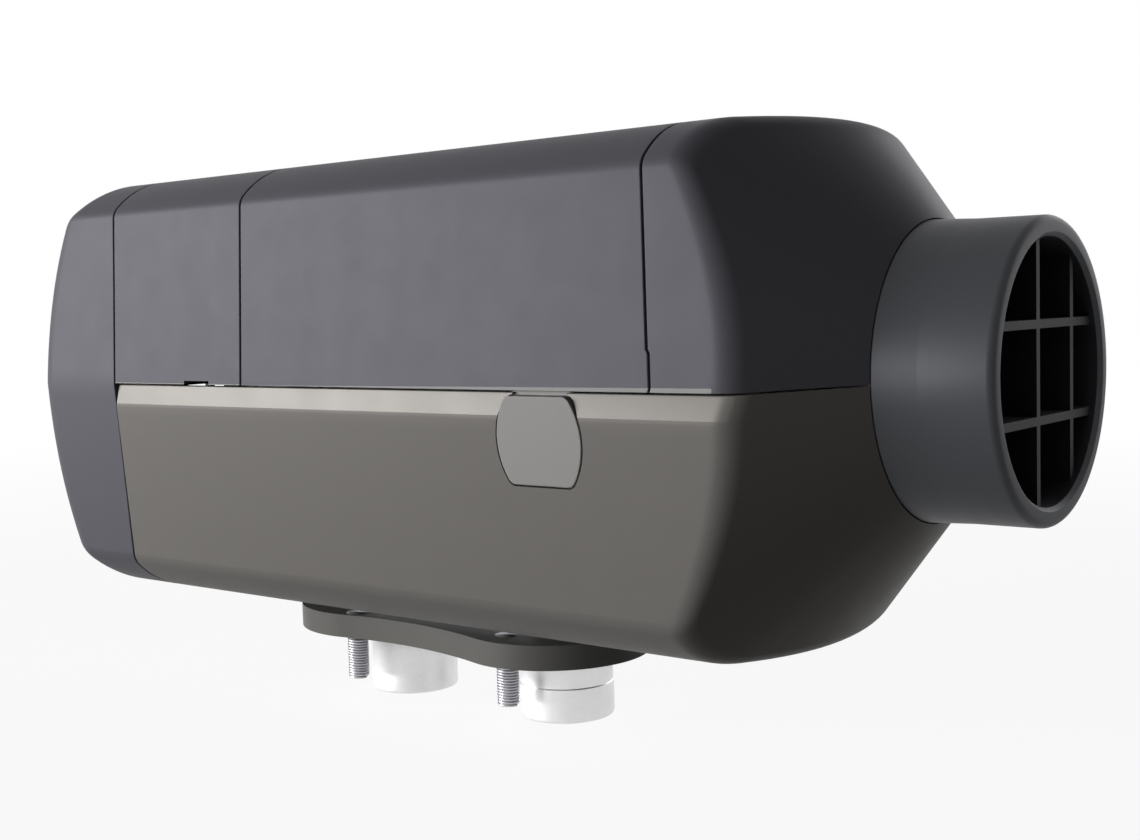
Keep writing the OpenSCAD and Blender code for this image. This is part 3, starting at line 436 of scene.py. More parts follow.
def upper_wall(t, z):
    """Up the wall from height z, with two rows close together where the seam's jog ends."""
    top = SHOULDER_C[1]
    heights = [z + (top - z) * i / WALL_STEPS for i in range(WALL_STEPS)]
    heights += [JOG_TOP - JOG_SLANT, JOG_TOP + JOG_SLANT]
    return [(HALF_W - t - UPPER_LEAN * (h - z) / (top - z), h) for h in sorted(heights)]


def lower_wall(t, z):
    return line((HALF_W - t, z), (HEEL_Y - t, HEEL_C[1]), WALL_STEPS)


def edge_round():
    """How far along the wall and how far in each point of a rounded edge lies."""
    turns = [math.radians(90) * i / EDGE_STEPS for i in range(EDGE_STEPS + 1)]
    return [(EDGE_R * (1 - math.cos(a)), EDGE_R * (1 - math.sin(a))) for a in turns]


def set_in(p, inset):
    s = 1 - inset / math.hypot(*p)
    return (p[0] * s, p[1] * s)


def seam_shift(p):
    """The seam between jacket and hood leans back, and steps towards the hood low on the near side."""
    lean = -SEAM_LEAN * (p[1] - SPLIT_Z)
    return lean + (JOG if p[0] < 0 and p[1] < JOG_TOP else 0)


def both_sides(side):
    """From the edge at +Y over the middle to the edge at -Y."""
    return side + [(-y, z) for y, z in side[-2::-1]]


def lip_height(x):
    """The lip grows slowly from the jacket's rear end to the hood's corner."""
    if x < LIP_MID_X:
        return max(LIP_LEAST_H, LIP_MID_H * (x - LIP_START_X) / (LIP_MID_X - LIP_START_X))
    return min(LIP_END_H, LIP_MID_H + (LIP_END_H - LIP_MID_H) * (x - LIP_MID_X) / (LIP_END_X - LIP_MID_X))


def upper_line(t, lip_h, lip_out):
    return both_sides([(HALF_W - t + lip_out, LIP_Z)] + upper_wall(t, LIP_Z + lip_h) + crown(t))


def lower_line(t):
    """The band flares out to the wall, and a narrow strip on each side of its edge keeps it crisp."""
    top = (HALF_W - BAND_IN - t, SPLIT_Z - SEAM / 2)
    edge_in = 0 if t else 1
    lip = [(top[0] - edge_in * inset, top[1] - along) for along, inset in edge_round()]
    edge = (HALF_W - t, SPLIT_Z - BAND_H)
    share = 1 - BAND_EDGE / BAND_H
    inside = (top[0] + (edge[0] - top[0]) * share, top[1] + (edge[1] - top[1]) * share)
    wall = lower_wall(t, SPLIT_Z - BAND_H)
    lean = (wall[1][0] - wall[0][0]) / (wall[1][1] - wall[0][1])
    outside = (edge[0] - lean * BAND_EDGE, edge[1] - BAND_EDGE)
    return both_sides(lip + [inside, outside] + wall[1:] + belly(t))


def cap_line(t):
    side = belly(t)[::-1] + lower_wall(t, SPLIT_Z)[:0:-1] + upper_wall(t, SPLIT_Z) + crown(t)
    return side + [(-y, z) for y, z in side[-2:0:-1]]


def at_height(x, point):
    return (x, point[0], point[1] + AXIS_H)


def nose_corner(p, x_to):
    """Where a wall meets the nose's cone."""
    return x_to - NOSE_SLOPE * (math.hypot(*p) - COLLAR_BASE_R)


def cap_corner(p, t):
    """Where a wall meets the cap's barrel shaped end."""
    sag = CAP_BARREL_R - math.sqrt(CAP_BARREL_R ** 2 - (p[1] + CAP_BARREL_DROP) ** 2)
    return CAP_SEAM_X - CAP_SIDE + t + sag


def nose_row(p, stations, x_c, x_to, r_end, r_corner, d, edge=None):
    """One row of points: along the wall, round its corner at x_c, then straight in to a circle.
    edge gives the wall's own point at a station, where a lip stands out."""
    r = math.hypot(*p)
    phi = math.atan2(r - r_end, d * (x_to - x_c))
    t_len = r_corner * math.tan(phi / 2)
    wall_end = x_c - d * (t_len + LIP_END_H)
    x_from, shares, rounded = stations
    row = []
    for along, inset in edge_round():
        x = x_from + d * along
        row.append(at_height(x, set_in(edge(x) if edge else p, inset if rounded else 0)))
    x_from += d * EDGE_R
    for share in shares:
        x = x_from + (wall_end - x_from) * share
        row.append(at_height(x, edge(x) if edge else p))
    for i in range(CORNER_STEPS + 1):
        a = phi * i / CORNER_STEPS
        s = 1 - r_corner * (1 - math.cos(a)) / r
        row.append(at_height(x_c + d * (r_corner * math.sin(a) - t_len), (p[0] * s, p[1] * s)))
    row.append(at_height(x_to, (p[0] * r_end / r, p[1] * r_end / r)))
    return row


UPPER = FINISHES["upper_plastic"]
LOWER = FINISHES["lower_plastic"]
INNER_BASE_X = BASE_X - WALL * math.sqrt(1 + NOSE_SLOPE ** 2)
CAP_PLUG_R = INTAKE_R + INTAKE_STEP + SNUG


def paint_lip_highlight(piece, x_from, x_to, height):
    """Paints a highlight on the thin lip: its upward faces get a brighter colour than the shell's own
    plastic.
    """
    piece.data.materials.append(LIP_HIGHLIGHT_FINISH)
    # Only the lip's upward faces take the painted highlight colour.
    top = (AXIS_H + LIP_Z + height + LIP_HIGHLIGHT_SLACK) * MM
    for face in piece.data.polygons:
        c = face.center
        outside = abs(c.y) > (HALF_W - EDGE_R) * MM
        if outside and c.z < top and x_from * MM < c.x < x_to * MM and face.normal.z > 0.2:
            face.material_index = 1


def make_cap():
    x0 = CAP_SEAM_X - SEAM / 2
    outer = [nose_row(p, (x0, (0.5,), True), cap_corner(p, 0), CAP_END_X, CAP_PLUG_R, CAP_R, -1)
             for p in cap_line(0)]
    inner = [nose_row(p, (x0, (0.5,), False), cap_corner(p, WALL), CAP_END_X + WALL, CAP_PLUG_R,
                      CAP_R - WALL, -1) for p in cap_line(WALL)]
    piece = finish_mesh("rear_cap", shell(outer, inner, True), "housing", UPPER,
                        "intake_cap")
    sharpen(piece)


def straight_shell(x0, x1, count, lip, shifted=False):
    """An open saddle from x0 to x1 whose lip has height lip(x)."""
    ends = edge_round()
    stations = [(x0 + along, inset) for along, inset in ends]
    stations += [(x0 + (x1 - x0) * i / count, 0) for i in range(1, count)]
    stations += [(x1 - along, inset) for along, inset in ends[::-1]]

    def rows(t):
        lines = []
        for x, inset in stations:
            h = lip(x)
            out = 0 if t else LIP_OUT * h / LIP_END_H
            share = (x - x0) / (x1 - x0) if shifted else 0
            lines.append([at_height(x + share * seam_shift(p), set_in(p, 0 if t else inset))
                          for p in upper_line(t, h, out)])
        return [list(row) for row in zip(*lines)]
    return shell(rows(0), rows(WALL), False)


SLOT_X = (-52.4, -42.0)
SLOT_TOP = -0.6
COVER_LIP_H = 0.22


def block(x0, x1, y0, y1, z0, z1):
    return stacked([[(x0, y0, z), (x1, y0, z), (x1, y1, z), (x0, y1, z)] for z in (z0, z1)])


def make_ecu_cover():
    bm = straight_shell(CAP_SEAM_X + SEAM / 2, JACKET_X - SEAM / 2, 8, lambda x: COVER_LIP_H)
    piece = finish_mesh("control_unit_cover", bm, "ecu_cover", UPPER, "ecu_cover")
    cut_away(piece, [block(*SLOT_X, -HALF_W - 1, -SHOULDER_Y + 2 * WALL,
                           AXIS_H + SPLIT_Z - 1, AXIS_H + SLOT_TOP)])
    paint_lip_highlight(piece, CAP_SEAM_X, JACKET_X, COVER_LIP_H)
    sharpen(piece)


def make_jacket():
    bm = straight_shell(JACKET_X + SEAM / 2, HOOD_X - SEAM / 2, 24, lip_height, True)
    piece = finish_mesh("jacket", bm, "housing", UPPER, "upper_jacket")
    paint_lip_highlight(piece, JACKET_X, HOOD_X + JOG, LIP_END_H)
    sharpen(piece)


def make_hood():
    x0 = HOOD_X + SEAM / 2
    shares = (0.33, 0.67, 1)
    plain = upper_line(0, LIP_END_H, 0)
    last = len(plain) - 1

    def edge_of(i):
        def edge(x):
            h = lip_height(x)
            return upper_line(0, h, LIP_OUT * h / LIP_END_H)[i]
        return edge
    outer = [nose_row(p, (x0 + seam_shift(p), shares, True), nose_corner(p, BASE_X), BASE_X, COLLAR_BASE_R,
                      NOSE_R, 1, edge_of(i) if i < 2 or i > last - 2 else None)
             for i, p in enumerate(plain)]
    inner = [nose_row(p, (x0 + seam_shift(p), shares, False), nose_corner(p, INNER_BASE_X), INNER_BASE_X,
                      COLLAR_BASE_R, NOSE_R - WALL, 1) for p in upper_line(WALL, LIP_END_H, 0)]
    piece = finish_mesh("nose_upper", shell(outer, inner, False), "housing", UPPER,
                        "outlet_hood")
    paint_lip_highlight(piece, HOOD_X, LIP_END_X, LIP_END_H)
    sharpen(piece)


# Blanking cover in the shell's edge
COVER_X = 71.2
COVER_LEN = 24.1
COVER_H = 20.2
COVER_BULGE_R = 17
COVER_CORNER_R = 2.4
COVER_DROP = 1
COVER_GAP = 0.35
COVER_PROUD = 0.15
COVER_MID_Z = SPLIT_Z - COVER_DROP - COVER_H / 2
COVER_RIM = 1.2


def barrel(half_l, half_h, bulge_r, corner_r):
    """An outline with flat top and bottom, bulged sides and small round corners."""
    c = half_l - bulge_r
    b = math.asin((half_h - corner_r) / (bulge_r - corner_r))
    k = (c + (bulge_r - corner_r) * math.cos(b), (bulge_r - corner_r) * math.sin(b))
    quarter = arc((c, 0), bulge_r, 0, math.degrees(b), 2 * ARC_STEPS)
    quarter += arc(k, corner_r, math.degrees(b), 90, ARC_STEPS)[1:]
    upper = quarter + [(-u, v) for u, v in quarter[::-1]]
    return upper + [(-u, -v) for u, v in upper[1:-1]]


def cover_ring(depth, grow):
    """The cover's outline grown by grow, at depth behind the lower wall's own leaning face."""
    lean = LOWER_LEAN / (SPLIT_Z - BAND_H - HEEL_C[1])
    ring = []
    for u, v in barrel(COVER_LEN / 2 + grow, COVER_H / 2 + grow, COVER_BULGE_R, COVER_CORNER_R + grow):
        z = COVER_MID_Z + v
        y = -HALF_W - lean * (z - SPLIT_Z + BAND_H) + depth
        ring.append((COVER_X + u, y, AXIS_H + z))
    return ring


def make_blanking_cover():
    rings = [cover_ring(-COVER_PROUD, 0), cover_ring(WALL + SNUG, 0), cover_ring(WALL + SNUG, COVER_RIM),
             cover_ring(2 * WALL, COVER_RIM)]
    finish_mesh("plain_cover", stacked(rings), "housing", FINISHES["cover_plastic"],
                "blanking_cover", bevel=0.3)


# Mouth. BLADES and GUARD_BARS are places across and up, as shares of the bore's radius.
BORE_GAP = 0.1
BLADE_IN = 2
BLADE_LEN = 14
BLADE_T = 1.9
BLADES = ((-0.155, 0.53), (0.36, -0.355))
GUARD_T = 2
GUARD_BAR = 1.3
GUARD_BARS = ((-0.62, 0.19, 0.8), (0.72, 0, -0.72))

# Neck, grommet and foot. OUT is how far a part reaches below the foot, IN how far above its plate.
NECK_HALF_X = 46
NECK_HALF_Y = 16.5
SEAL_T = 3
GROMMET_X = -70
GROMMET_DROP = 24
GROMMET_R = 8
LOBES = ((-35, 28.5), (31, 25.5))
WAIST_R = 110
LOBE_TURN = -6
STUD_PITCH_X = 56
STUD_PITCH_Y = 40
STUD_R = 3
STUD_GAP = 0.1
STUD_OUT = 12
STUD_IN = 0.2
STUB_OUT = 18
STUB_IN = 6
STUB_WALL = 1.6
STUB_STEP = 0.5
AIR_STUB_X = -25.5
AIR_STUB_R = 12.5
EXHAUST_X = 31.5
EXHAUST_R = 12.7
CAST_STEP = 0.2
CAST_STEP_Z = 9
FUEL_X = 3
FUEL_Y = 9
FUEL_R = 2
FUEL_BORE_R = 1
FUEL_OUT = 22
FERRULE_STEP = 0.6
FERRULE_IN = 1.2


def neck_ring(z, grow):
    r = NECK_HALF_Y + grow
    c = NECK_HALF_X - NECK_HALF_Y
    outline = arc((c, 0), r, -90, 90, 2 * ARC_STEPS) + arc((-c, 0), r, 90, 270, 2 * ARC_STEPS)
    return [(x, y, z) for x, y in outline]


def make_lower_shell():
    x0 = CAP_SEAM_X + SEAM / 2
    shares = [i / SHELL_STEPS for i in range(1, SHELL_STEPS + 1)]
    outer = [nose_row(p, (x0, shares, True), nose_corner(p, BASE_X), BASE_X, COLLAR_BASE_R, NOSE_R, 1)
             for p in lower_line(0)]
    inner = [nose_row(p, (x0, shares, False), nose_corner(p, INNER_BASE_X), INNER_BASE_X, COLLAR_BASE_R,
                      NOSE_R - WALL, 1) for p in lower_line(WALL)]
    piece = finish_mesh("lower_housing", shell(outer, inner, False), "housing", LOWER,
                        "lower_shell")
    notch = stacked([cover_ring(-3, COVER_GAP), cover_ring(2 * WALL, COVER_GAP)])
    half = COVER_H / 2 - COVER_CORNER_R
    mouth = block(COVER_X - half, COVER_X + half, -HALF_W - 3, -HEEL_Y + 2 * WALL,
                  AXIS_H + COVER_MID_Z, AXIS_H + SPLIT_Z + 1)
    bottom = AXIS_H - BELLY_H
    neck = stacked([neck_ring(bottom - 1, SEAL_T), neck_ring(bottom + WALL + 1, SEAL_T)])
    hole = turned([(0, HEEL_Y - 2 * WALL), (GROMMET_R, HEEL_Y - 2 * WALL), (GROMMET_R, HALF_W + 2),
                   (0, HALF_W + 2)], (GROMMET_X, 0, AXIS_H - GROMMET_DROP), "y", 48)
    cut_away(piece, [notch, mouth, neck, hole])
    paint_band(piece)
    sharpen(piece)


def paint_band(piece):
    """The band below the shell's edge is smooth where the walls are grained."""
    piece.data.materials.append(BAND_FINISH)
    top = (AXIS_H + SPLIT_Z) * MM
    bottom = (AXIS_H + SPLIT_Z - BAND_H) * MM
    for face in piece.data.polygons:
        c = face.center
        outside = abs(c.y) > (HALF_W - BAND_IN - WALL / 2) * MM
        if outside and bottom < c.z < top and face.normal.z > 0.1 and c.x < LIP_END_X * MM:
            face.material_index = 1


def make_grille(name, node, x0, x1, places, bar, finish):
    """Crossed blades whose ends meet the collar's bore."""
    ys_share, zs_share = places
    r = MOUTH_R - BORE_GAP
    reach = r + 1
    blades = [block(x0, x1, r * y - bar / 2, r * y + bar / 2, AXIS_H - reach, AXIS_H + reach)
              for y in ys_share]
    blades += [block(x0, x1, -reach, reach, AXIS_H + r * z - bar / 2, AXIS_H + r * z + bar / 2)
               for z in zs_share]
    piece = finish_mesh(name, blades[0], "housing", finish, node)
    cut_away(piece, blades[1:], "UNION")
    bore = turned([(0, x0 - 1), (r, x0 - 1), (r, x1 + 1), (0, x1 + 1)], (0, 0, AXIS_H), "x", 96)
    cut_away(piece, [bore], "INTERSECT")
    soften(piece, width=0.25)


def make_grilles():
    front = RIM_X - BLADE_IN
    back = front - BLADE_LEN
    make_grille("mouth_blades", "outlet_grille", back, front, BLADES, BLADE_T, FINISHES["grille_plastic"])
    make_grille("finger_guard_bars", "finger_guard", back - SNUG - GUARD_T, back - SNUG, GUARD_BARS,
                GUARD_BAR, GUARD_FINISH)


def make_collars():
    mouth_edge = 0.9
    root_x = INNER_BASE_X - COLLAR_ROOT
    profile = filleted([
        (MOUTH_R, root_x, 0), (COLLAR_BASE_R + COLLAR_LIP, root_x, 0),
        (COLLAR_BASE_R + COLLAR_LIP, root_x + WALL, 0), (COLLAR_BASE_R - SNUG, root_x + WALL, 0),
        (COLLAR_BASE_R - SNUG, BASE_X, 0.6), (COLLAR_R, RIM_X - DUCT_SEAT, 2), (COLLAR_R, RIM_X, 1.6),
        (MOUTH_R + mouth_edge, RIM_X, 0.3), (MOUTH_R, RIM_X - mouth_edge, 0.3)], 6)
    satin = FINISHES["collar_plastic"]
    finish_mesh("outlet_duct_collar", turned(profile, (0, 0, AXIS_H), "x"), "housing",
                satin, "outlet_collar")
    crown_slope = (cap_corner((0, CROWN_H), 0) - CAP_END_X) / (CROWN_H - CAP_PLUG_R)
    lip_x = CAP_END_X + WALL + crown_slope * COLLAR_LIP + SNUG
    profile = filleted([
        (INTAKE_BORE_R, lip_x + WALL, 0), (INTAKE_BORE_R, INTAKE_RIM_X, 0.8), (INTAKE_R, INTAKE_RIM_X, 1.2),
        (INTAKE_R, CAP_END_X - SNUG, 0), (INTAKE_R + INTAKE_STEP, CAP_END_X - SNUG, 0),
        (INTAKE_R + INTAKE_STEP, lip_x, 0),
        (CAP_PLUG_R + COLLAR_LIP, lip_x, 0), (CAP_PLUG_R + COLLAR_LIP, lip_x + WALL, 0)], 6)
    finish_mesh("intake_duct_collar", turned(profile, (0, 0, AXIS_H), "x"), "housing",
                satin, "intake_collar")


def flange_ring(z):
    """Two lobes joined by waist arcs that are tangent to both, turned about the origin."""
    (x1, r1), (x2, r2) = LOBES
    across = x2 - x1
    run = (across ** 2 + (r1 + WAIST_R) ** 2 - (r2 + WAIST_R) ** 2) / (2 * across)
    waist_y = math.sqrt((r1 + WAIST_R) ** 2 - run ** 2)
    a1 = math.degrees(math.atan2(waist_y, run))
    a2 = math.degrees(math.atan2(waist_y, run - across))
    waist_x = x1 + run
    outline = (arc((x2, 0), r2, -a2, a2, 8 * ARC_STEPS)
               + arc((waist_x, waist_y), WAIST_R, a2 - 180, a1 - 180, 2 * ARC_STEPS)[1:-1]
               + arc((x1, 0), r1, a1, 360 - a1, 8 * ARC_STEPS)
               + arc((waist_x, -waist_y), WAIST_R, 180 - a1, 180 - a2, 2 * ARC_STEPS)[1:-1])
    turn = math.radians(LOBE_TURN)
    c, s = math.cos(turn), math.sin(turn)
    return [(x * c - y * s, x * s + y * c, z) for x, y in outline]


def rod(x, y, r, z0, z1, steps=48):
    return turned([(0, z0), (r, z0), (r, z1), (0, z1)], (x, y, 0), "z", steps)


def stud_places():
    return [(x * STUD_PITCH_X / 2, y * STUD_PITCH_Y / 2) for x in (-1, 1) for y in (-1, 1)]


def make_flange():
    piece = finish_mesh("foot_plate", stacked([flange_ring(0), flange_ring(FLANGE_T)]), "housing",
                        FINISHES["foot_coating"], "foot_flange", bevel=0.7)
    holes = [rod(AIR_STUB_X, 0, AIR_STUB_R + STUB_STEP + SNUG, -1, FLANGE_T + 1, 96),
             rod(EXHAUST_X, 0, EXHAUST_R + STUB_STEP + SNUG, -1, FLANGE_T + 1, 96),
             rod(FUEL_X, FUEL_Y, FUEL_R + FERRULE_STEP + SNUG, -1, FLANGE_T + 1)]
    holes += [rod(x, y, STUD_R + STUD_GAP, -1, FLANGE_T + 1) for x, y in stud_places()]
    cut_away(piece, holes)


def stub(name, node, x, r, step, step_z):
    top = FLANGE_T + STUB_IN
    profile = filleted([
        (r - STUB_WALL, -STUB_OUT, 0.5), (r + step, -STUB_OUT, 0.7), (r + step, -STUB_OUT + step_z, 0.08),
        (r, -STUB_OUT + step_z + 0.3, 0.08), (r, 0, 0), (r + STUB_STEP, 0, 0), (r + STUB_STEP, top, 0),
        (r - STUB_WALL, top, 0)], 4)
    finish_mesh(name, turned(profile, (x, 0, 0), "z", 96), "housing",
                FINISHES["bare_aluminium"], node)


THREAD_PITCH = 0.75
THREAD_DEPTH = 0.32
THREAD_TOP = -0.6
THREAD_LEN = STUD_OUT - 0.8


def thread_tree():
    """A helical thread ridge on each corner of the stud pattern."""
    tree = bpy.data.node_groups.new("Stud threads", "GeometryNodeTree")
    make = tree.interface.new_socket
    make("Geometry", in_out="INPUT", socket_type="NodeSocketGeometry")
    for label, value in (("Radius", (STUD_R - THREAD_DEPTH) * MM), ("Length", THREAD_LEN * MM),
                         ("Turns", THREAD_LEN / THREAD_PITCH), ("Ridge", THREAD_DEPTH * MM),
                         ("Pitch X", STUD_PITCH_X * MM), ("Pitch Y", STUD_PITCH_Y * MM)):
        size = make(label, in_out="INPUT", socket_type="NodeSocketFloat")
        size.default_value = value
    make("Material", in_out="INPUT", socket_type="NodeSocketMaterial")
    make("Geometry", in_out="OUTPUT", socket_type="NodeSocketGeometry")
    add = tree.nodes.new
    link = tree.links.new
    given = add("NodeGroupInput")
    helix = add("GeometryNodeCurveSpiral")
    helix.inputs["Resolution"].default_value = 20
    link(given.outputs["Turns"], helix.inputs["Rotations"])
    link(given.outputs["Radius"], helix.inputs["Start Radius"])
    link(given.outputs["Radius"], helix.inputs["End Radius"])
    link(given.outputs["Length"], helix.inputs["Height"])
    ridge = add("GeometryNodeCurvePrimitiveCircle")
    ridge.inputs["Resolution"].default_value = 6
    link(given.outputs["Ridge"], ridge.inputs["Radius"])
    sweep = add("GeometryNodeCurveToMesh")
    sweep.inputs["Fill Caps"].default_value = True
    link(helix.outputs["Curve"], sweep.inputs["Curve"])
    link(ridge.outputs["Curve"], sweep.inputs["Profile Curve"])
    corners = add("GeometryNodeMeshGrid")
    corners.inputs["Vertices X"].default_value = 2
    corners.inputs["Vertices Y"].default_value = 2
    link(given.outputs["Pitch X"], corners.inputs["Size X"])
    link(given.outputs["Pitch Y"], corners.inputs["Size Y"])
    copies = add("GeometryNodeInstanceOnPoints")
    link(corners.outputs["Mesh"], copies.inputs["Points"])
    link(sweep.outputs["Mesh"], copies.inputs["Instance"])
    down = add("ShaderNodeCombineXYZ")
    lower = add("ShaderNodeMath")
    lower.operation = "MULTIPLY_ADD"
    lower.inputs[1].default_value = -1
    lower.inputs[2].default_value = THREAD_TOP * MM
    link(given.outputs["Length"], lower.inputs[0])
    link(lower.outputs[0], down.inputs["Z"])
    place = add("GeometryNodeTransform")
    link(copies.outputs["Instances"], place.inputs["Geometry"])
    link(down.outputs["Vector"], place.inputs["Translation"])
    joined = add("GeometryNodeJoinGeometry")
    link(given.outputs["Geometry"], joined.inputs["Geometry"])
    link(place.outputs["Geometry"], joined.inputs["Geometry"])
    real = add("GeometryNodeRealizeInstances")
    link(joined.outputs["Geometry"], real.inputs["Geometry"])
    paint = add("GeometryNodeSetMaterial")
    link(real.outputs["Geometry"], paint.inputs["Geometry"])
    link(given.outputs["Material"], paint.inputs["Material"])
    done = add("NodeGroupOutput")
    link(paint.outputs["Geometry"], done.inputs["Geometry"])
    return tree


def apply_nodes(piece, tree, inputs):
    """Runs a node tree on a piece and keeps the result as its plain mesh."""
    nodes = piece.modifiers.new("Nodes", "NODES")
    nodes.node_group = tree
    for socket in tree.interface.items_tree:
        if socket.in_out == "INPUT" and socket.name in inputs:
            nodes[socket.identifier] = inputs[socket.name]
    evaluated = piece.evaluated_get(bpy.context.evaluated_depsgraph_get())
    piece.data = bpy.data.meshes.new_from_object(evaluated)
    piece.modifiers.remove(nodes)


def make_studs():
    core = bmesh.new()
    r = STUD_R - THREAD_DEPTH
    profile = filleted([(0, -STUD_OUT, 0), (r - 0.4, -STUD_OUT, 0), (r, -STUD_OUT + 0.5, 0), (r, 0, 0),
                        (STUD_R, 0, 0), (STUD_R, FLANGE_T + STUD_IN, 0), (0, FLANGE_T + STUD_IN, 0)])
    mesh = bpy.data.meshes.new("stud_cores")
    for x, y in stud_places():
        one = turned(profile, (x, y, 0), "z", 32)
        one.to_mesh(mesh)
        one.free()
        core.from_mesh(mesh)
    steel = FINISHES["plated_steel"]
    piece = finish_mesh("foot_stud_set", core, "housing", steel, "foot_studs")
    apply_nodes(piece, thread_tree(), {"Material": steel})
    for face in piece.data.polygons:
        face.use_smooth = True


def make_fuel_pipe():
    top = FLANGE_T + FERRULE_IN
    profile = filleted([(FUEL_BORE_R, -FUEL_OUT, 0.2), (FUEL_R, -FUEL_OUT, 0.5), (FUEL_R, 0, 0),
                        (FUEL_R + FERRULE_STEP, 0, 0), (FUEL_R + FERRULE_STEP, top, 0),
                        (FUEL_BORE_R, top, 0)])
    finish_mesh("fuel_inlet_pipe", turned(profile, (FUEL_X, FUEL_Y, 0), "z", 40), "housing",
                FINISHES["plated_steel"], "fuel_pipe")


def make_grommet():
    y0 = HEEL_Y - 2 * WALL
    y1 = HALF_W + SNUG
    profile = filleted([(0, y0, 0), (GROMMET_R - SNUG, y0, 0.6), (GROMMET_R - SNUG, y1, 0),
                        (GROMMET_R + WALL, y1, 0.3), (GROMMET_R + WALL, y1 + WALL, 0.9),
                        (GROMMET_R * 0.62, y1 + WALL, 0.4), (GROMMET_R * 0.55, y1 + WALL - 0.8, 0.4),
                        (0, y1 + WALL - 0.8, 0)])
    finish_mesh("cable_grommet", turned(profile, (GROMMET_X, 0, AXIS_H - GROMMET_DROP), "y", 64),
                "housing", FINISHES["rubber"], "harness_grommet")


def dress_cad_nodes():
    """Gives each CAD node that stays in view its finish and small rounded edges."""
    for part in frame["record"]["subparts"]:
        node = frame["nodes"].get(part["node"])
        if node is None or node.hide_render:
            continue
        node.data.materials.clear()
        node.data.materials.append(FINISHES[part["material_slot"]])
        weld = node.modifiers.new("Weld", "WELD")
        weld.merge_threshold = 0.002 * MM
        soften(node, width=0.2, angle=35, segments=2)


# Setting
def soft_lamp(name, place, size, power, height=None, wash=True):
    """A lamp aimed at the middle of the object. With wash off it leaves only a highlight."""
    light = bpy.data.lights.new(name, "AREA")
    light.shape = "RECTANGLE" if height else "DISK"
    light.size = size
    if height:
        light.size_y = height
    light.energy = power
    lamp = bpy.data.objects.new(name, light)
    lamp.visible_diffuse = wash
    lamp.location = place
    lamp.rotation_euler = (Vector(MIDDLE) - Vector(place)).to_track_quat("-Z", "Y").to_euler()
    bpy.context.scene.collection.objects.link(lamp)


def seen_directly(tree):
    """1 where a ray comes straight from the camera or by way of gloss or glass, else 0."""
    path = tree.nodes.new("ShaderNodeLightPath")
    total = path.outputs["Is Camera Ray"]
    for other in ("Is Glossy Ray", "Is Transmission Ray"):
        more = tree.nodes.new("ShaderNodeMath")
        more.operation = "MAXIMUM"
        tree.links.new(total, more.inputs[0])
        tree.links.new(path.outputs[other], more.inputs[1])
        total = more.outputs[0]
    return total


# Lamps, floor and camera, in metres, watts and degrees. FLOOR_REACH and CAMERA_LENS are millimetres.
AMBIENT = 0.01
MIDDLE = (0.02, 0, AXIS_H * MM)
LAMP_AWAY = 1.6
KEY_POWER = 19
KEY_WIDTH = 1.3
KEY_HEIGHT = 0.45
KEY_DIRECTION = (-0.64, -0.77, 0.09)
GLEAM_POWER = 11
GLEAM_WIDTH = 0.8
GLEAM_HEIGHT = 0.22
GLEAM_DIRECTION = (-0.76, -0.60, 0.27)
LOW_GLEAM_POWER = 6
LOW_GLEAM_WIDTH = 1.3
LOW_GLEAM_HEIGHT = 0.18
LOW_GLEAM_DIRECTION = (-0.66, -0.70, -0.02)
FILL_POWER = 5
FILL_SIZE = 1.0
FILL_PLACE = (0.25, 1.6, 0.45)
FLOOR_TONE = 0.12
FLOOR_GLOW = 0.92
GLOW_NEAR = 0.35
GLOW_FAR = 1.2
FLOOR_REACH = 12000
CAMERA_LENS = 47.4458
CAMERA_PLACE = (0.282119, -0.312678, 0.092515)
CAMERA_TURN = (85.5398, 1.6286, 38.1587)


def make_lamps():
    for name, direction, width, height, power, wash in (
            ("Key", KEY_DIRECTION, KEY_WIDTH, KEY_HEIGHT, KEY_POWER, True),
            ("Gleam", GLEAM_DIRECTION, GLEAM_WIDTH, GLEAM_HEIGHT, GLEAM_POWER, False),
            ("Low gleam", LOW_GLEAM_DIRECTION, LOW_GLEAM_WIDTH, LOW_GLEAM_HEIGHT, LOW_GLEAM_POWER, False)):
        place = [m + LAMP_AWAY * d for m, d in zip(MIDDLE, direction)]
        soft_lamp(name, place, width, power, height, wash)
    soft_lamp("Fill", FILL_PLACE, FILL_SIZE, FILL_POWER)


def make_world():
    world = bpy.data.worlds.new("White surround")
    bpy.context.scene.world = world
    world.use_nodes = True
    tree = world.node_tree
    tree.nodes.clear()
    white = tree.nodes.new("ShaderNodeBackground")
    white.inputs["Color"].default_value = (1, 1, 1, 1)
    soft = tree.nodes.new("ShaderNodeBackground")
    soft.inputs["Color"].default_value = (1, 1, 1, 1)
    soft.inputs["Strength"].default_value = AMBIENT
    both = tree.nodes.new("ShaderNodeMixShader")
    out = tree.nodes.new("ShaderNodeOutputWorld")
    tree.links.new(seen_directly(tree), both.inputs["Fac"])
    tree.links.new(soft.outputs[0], both.inputs[1])
    tree.links.new(white.outputs[0], both.inputs[2])
    tree.links.new(both.outputs[0], out.inputs["Surface"])


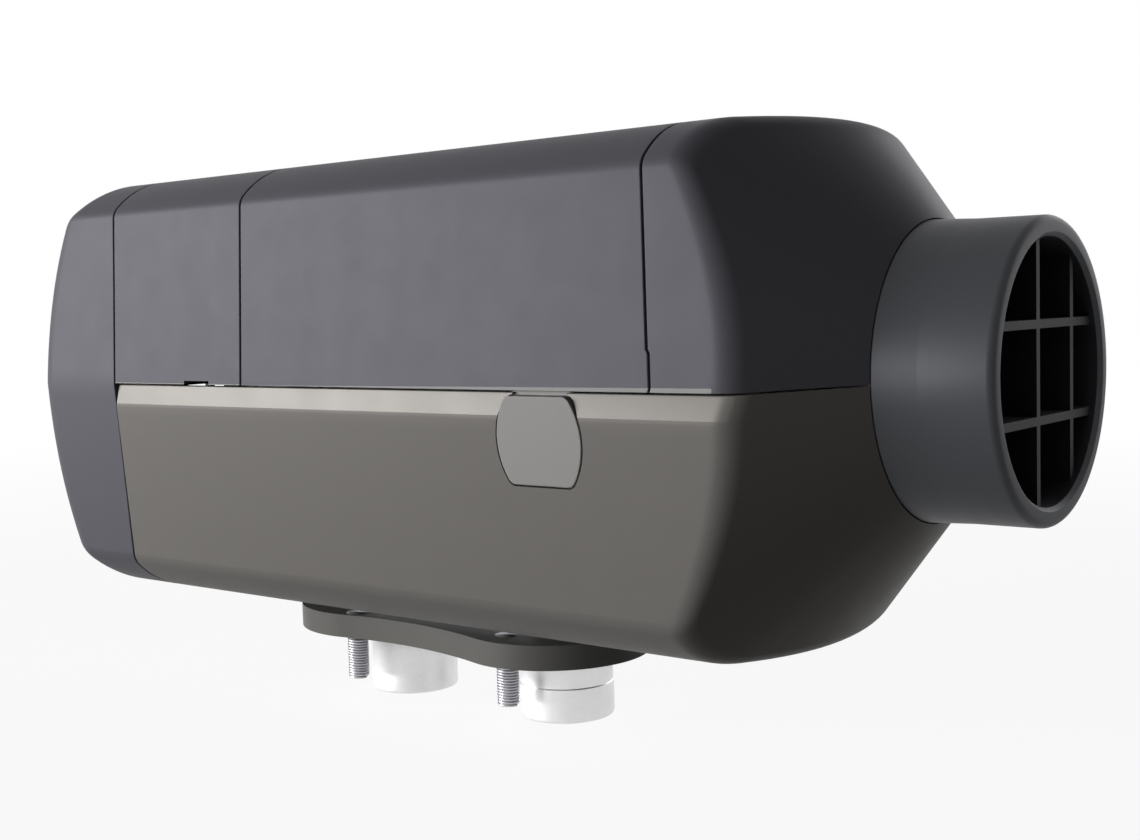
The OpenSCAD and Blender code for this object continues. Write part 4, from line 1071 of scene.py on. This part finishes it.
def make_floor():
    bm = bmesh.new()
    corners = [(-1, -1), (1, -1), (1, 1), (-1, 1)]
    bm.faces.new(add_points(bm, [(x * FLOOR_REACH, y * FLOOR_REACH, FLOOR_Z) for x, y in corners]))
    mesh = bpy.data.meshes.new("floor")
    bm.to_mesh(mesh)
    bm.free()
    floor = bpy.data.objects.new("floor", mesh)
    bpy.context.scene.collection.objects.link(floor)
    material = bpy.data.materials.new("Pale floor")
    material.use_nodes = True
    tree = material.node_tree
    tree.nodes.clear()
    matt = tree.nodes.new("ShaderNodeBsdfDiffuse")
    matt.inputs["Color"].default_value = (FLOOR_TONE, FLOOR_TONE, FLOOR_TONE, 1)
    glow = tree.nodes.new("ShaderNodeEmission")
    glow.inputs["Color"].default_value = (1, 1, 1, 1)
    place = tree.nodes.new("ShaderNodeTexCoord")
    away = tree.nodes.new("ShaderNodeVectorMath")
    away.operation = "LENGTH"
    tree.links.new(place.outputs["Object"], away.inputs[0])
    rise = tree.nodes.new("ShaderNodeMapRange")
    rise.inputs["From Min"].default_value = GLOW_NEAR
    rise.inputs["From Max"].default_value = GLOW_FAR
    rise.inputs["To Min"].default_value = FLOOR_GLOW
    rise.inputs["To Max"].default_value = 1
    tree.links.new(away.outputs["Value"], rise.inputs["Value"])
    strength = tree.nodes.new("ShaderNodeMath")
    strength.operation = "MULTIPLY"
    tree.links.new(rise.outputs["Result"], strength.inputs[1])
    both = tree.nodes.new("ShaderNodeAddShader")
    out = tree.nodes.new("ShaderNodeOutputMaterial")
    tree.links.new(seen_directly(tree), strength.inputs[0])
    tree.links.new(strength.outputs[0], glow.inputs["Strength"])
    tree.links.new(matt.outputs[0], both.inputs[0])
    tree.links.new(glow.outputs[0], both.inputs[1])
    tree.links.new(both.outputs[0], out.inputs["Surface"])
    mesh.materials.append(material)


def make_camera():
    lens = bpy.data.cameras.new("Camera")
    lens.lens = CAMERA_LENS
    lens.sensor_width = 36
    lens.sensor_fit = "HORIZONTAL"
    lens.clip_start = 0.01
    lens.clip_end = 50
    camera = bpy.data.objects.new("Camera", lens)
    camera.location = CAMERA_PLACE
    camera.rotation_euler = Euler([math.radians(a) for a in CAMERA_TURN])
    bpy.context.scene.collection.objects.link(camera)
    bpy.context.scene.camera = camera


make_cap()
make_ecu_cover()
make_jacket()
make_hood()
make_lower_shell()
make_blanking_cover()
make_collars()
make_grilles()
make_flange()
stub("air_inlet_stub", "combustion_air_stub", AIR_STUB_X, AIR_STUB_R, 0.0, 4.0)
stub("exhaust_outlet_stub", "exhaust_stub", EXHAUST_X, EXHAUST_R, CAST_STEP, CAST_STEP_Z)
make_studs()
make_fuel_pipe()
make_grommet()
dress_cad_nodes()
make_world()
make_floor()
make_lamps()
make_camera()
bpy.context.scene.view_settings.view_transform = "Standard"
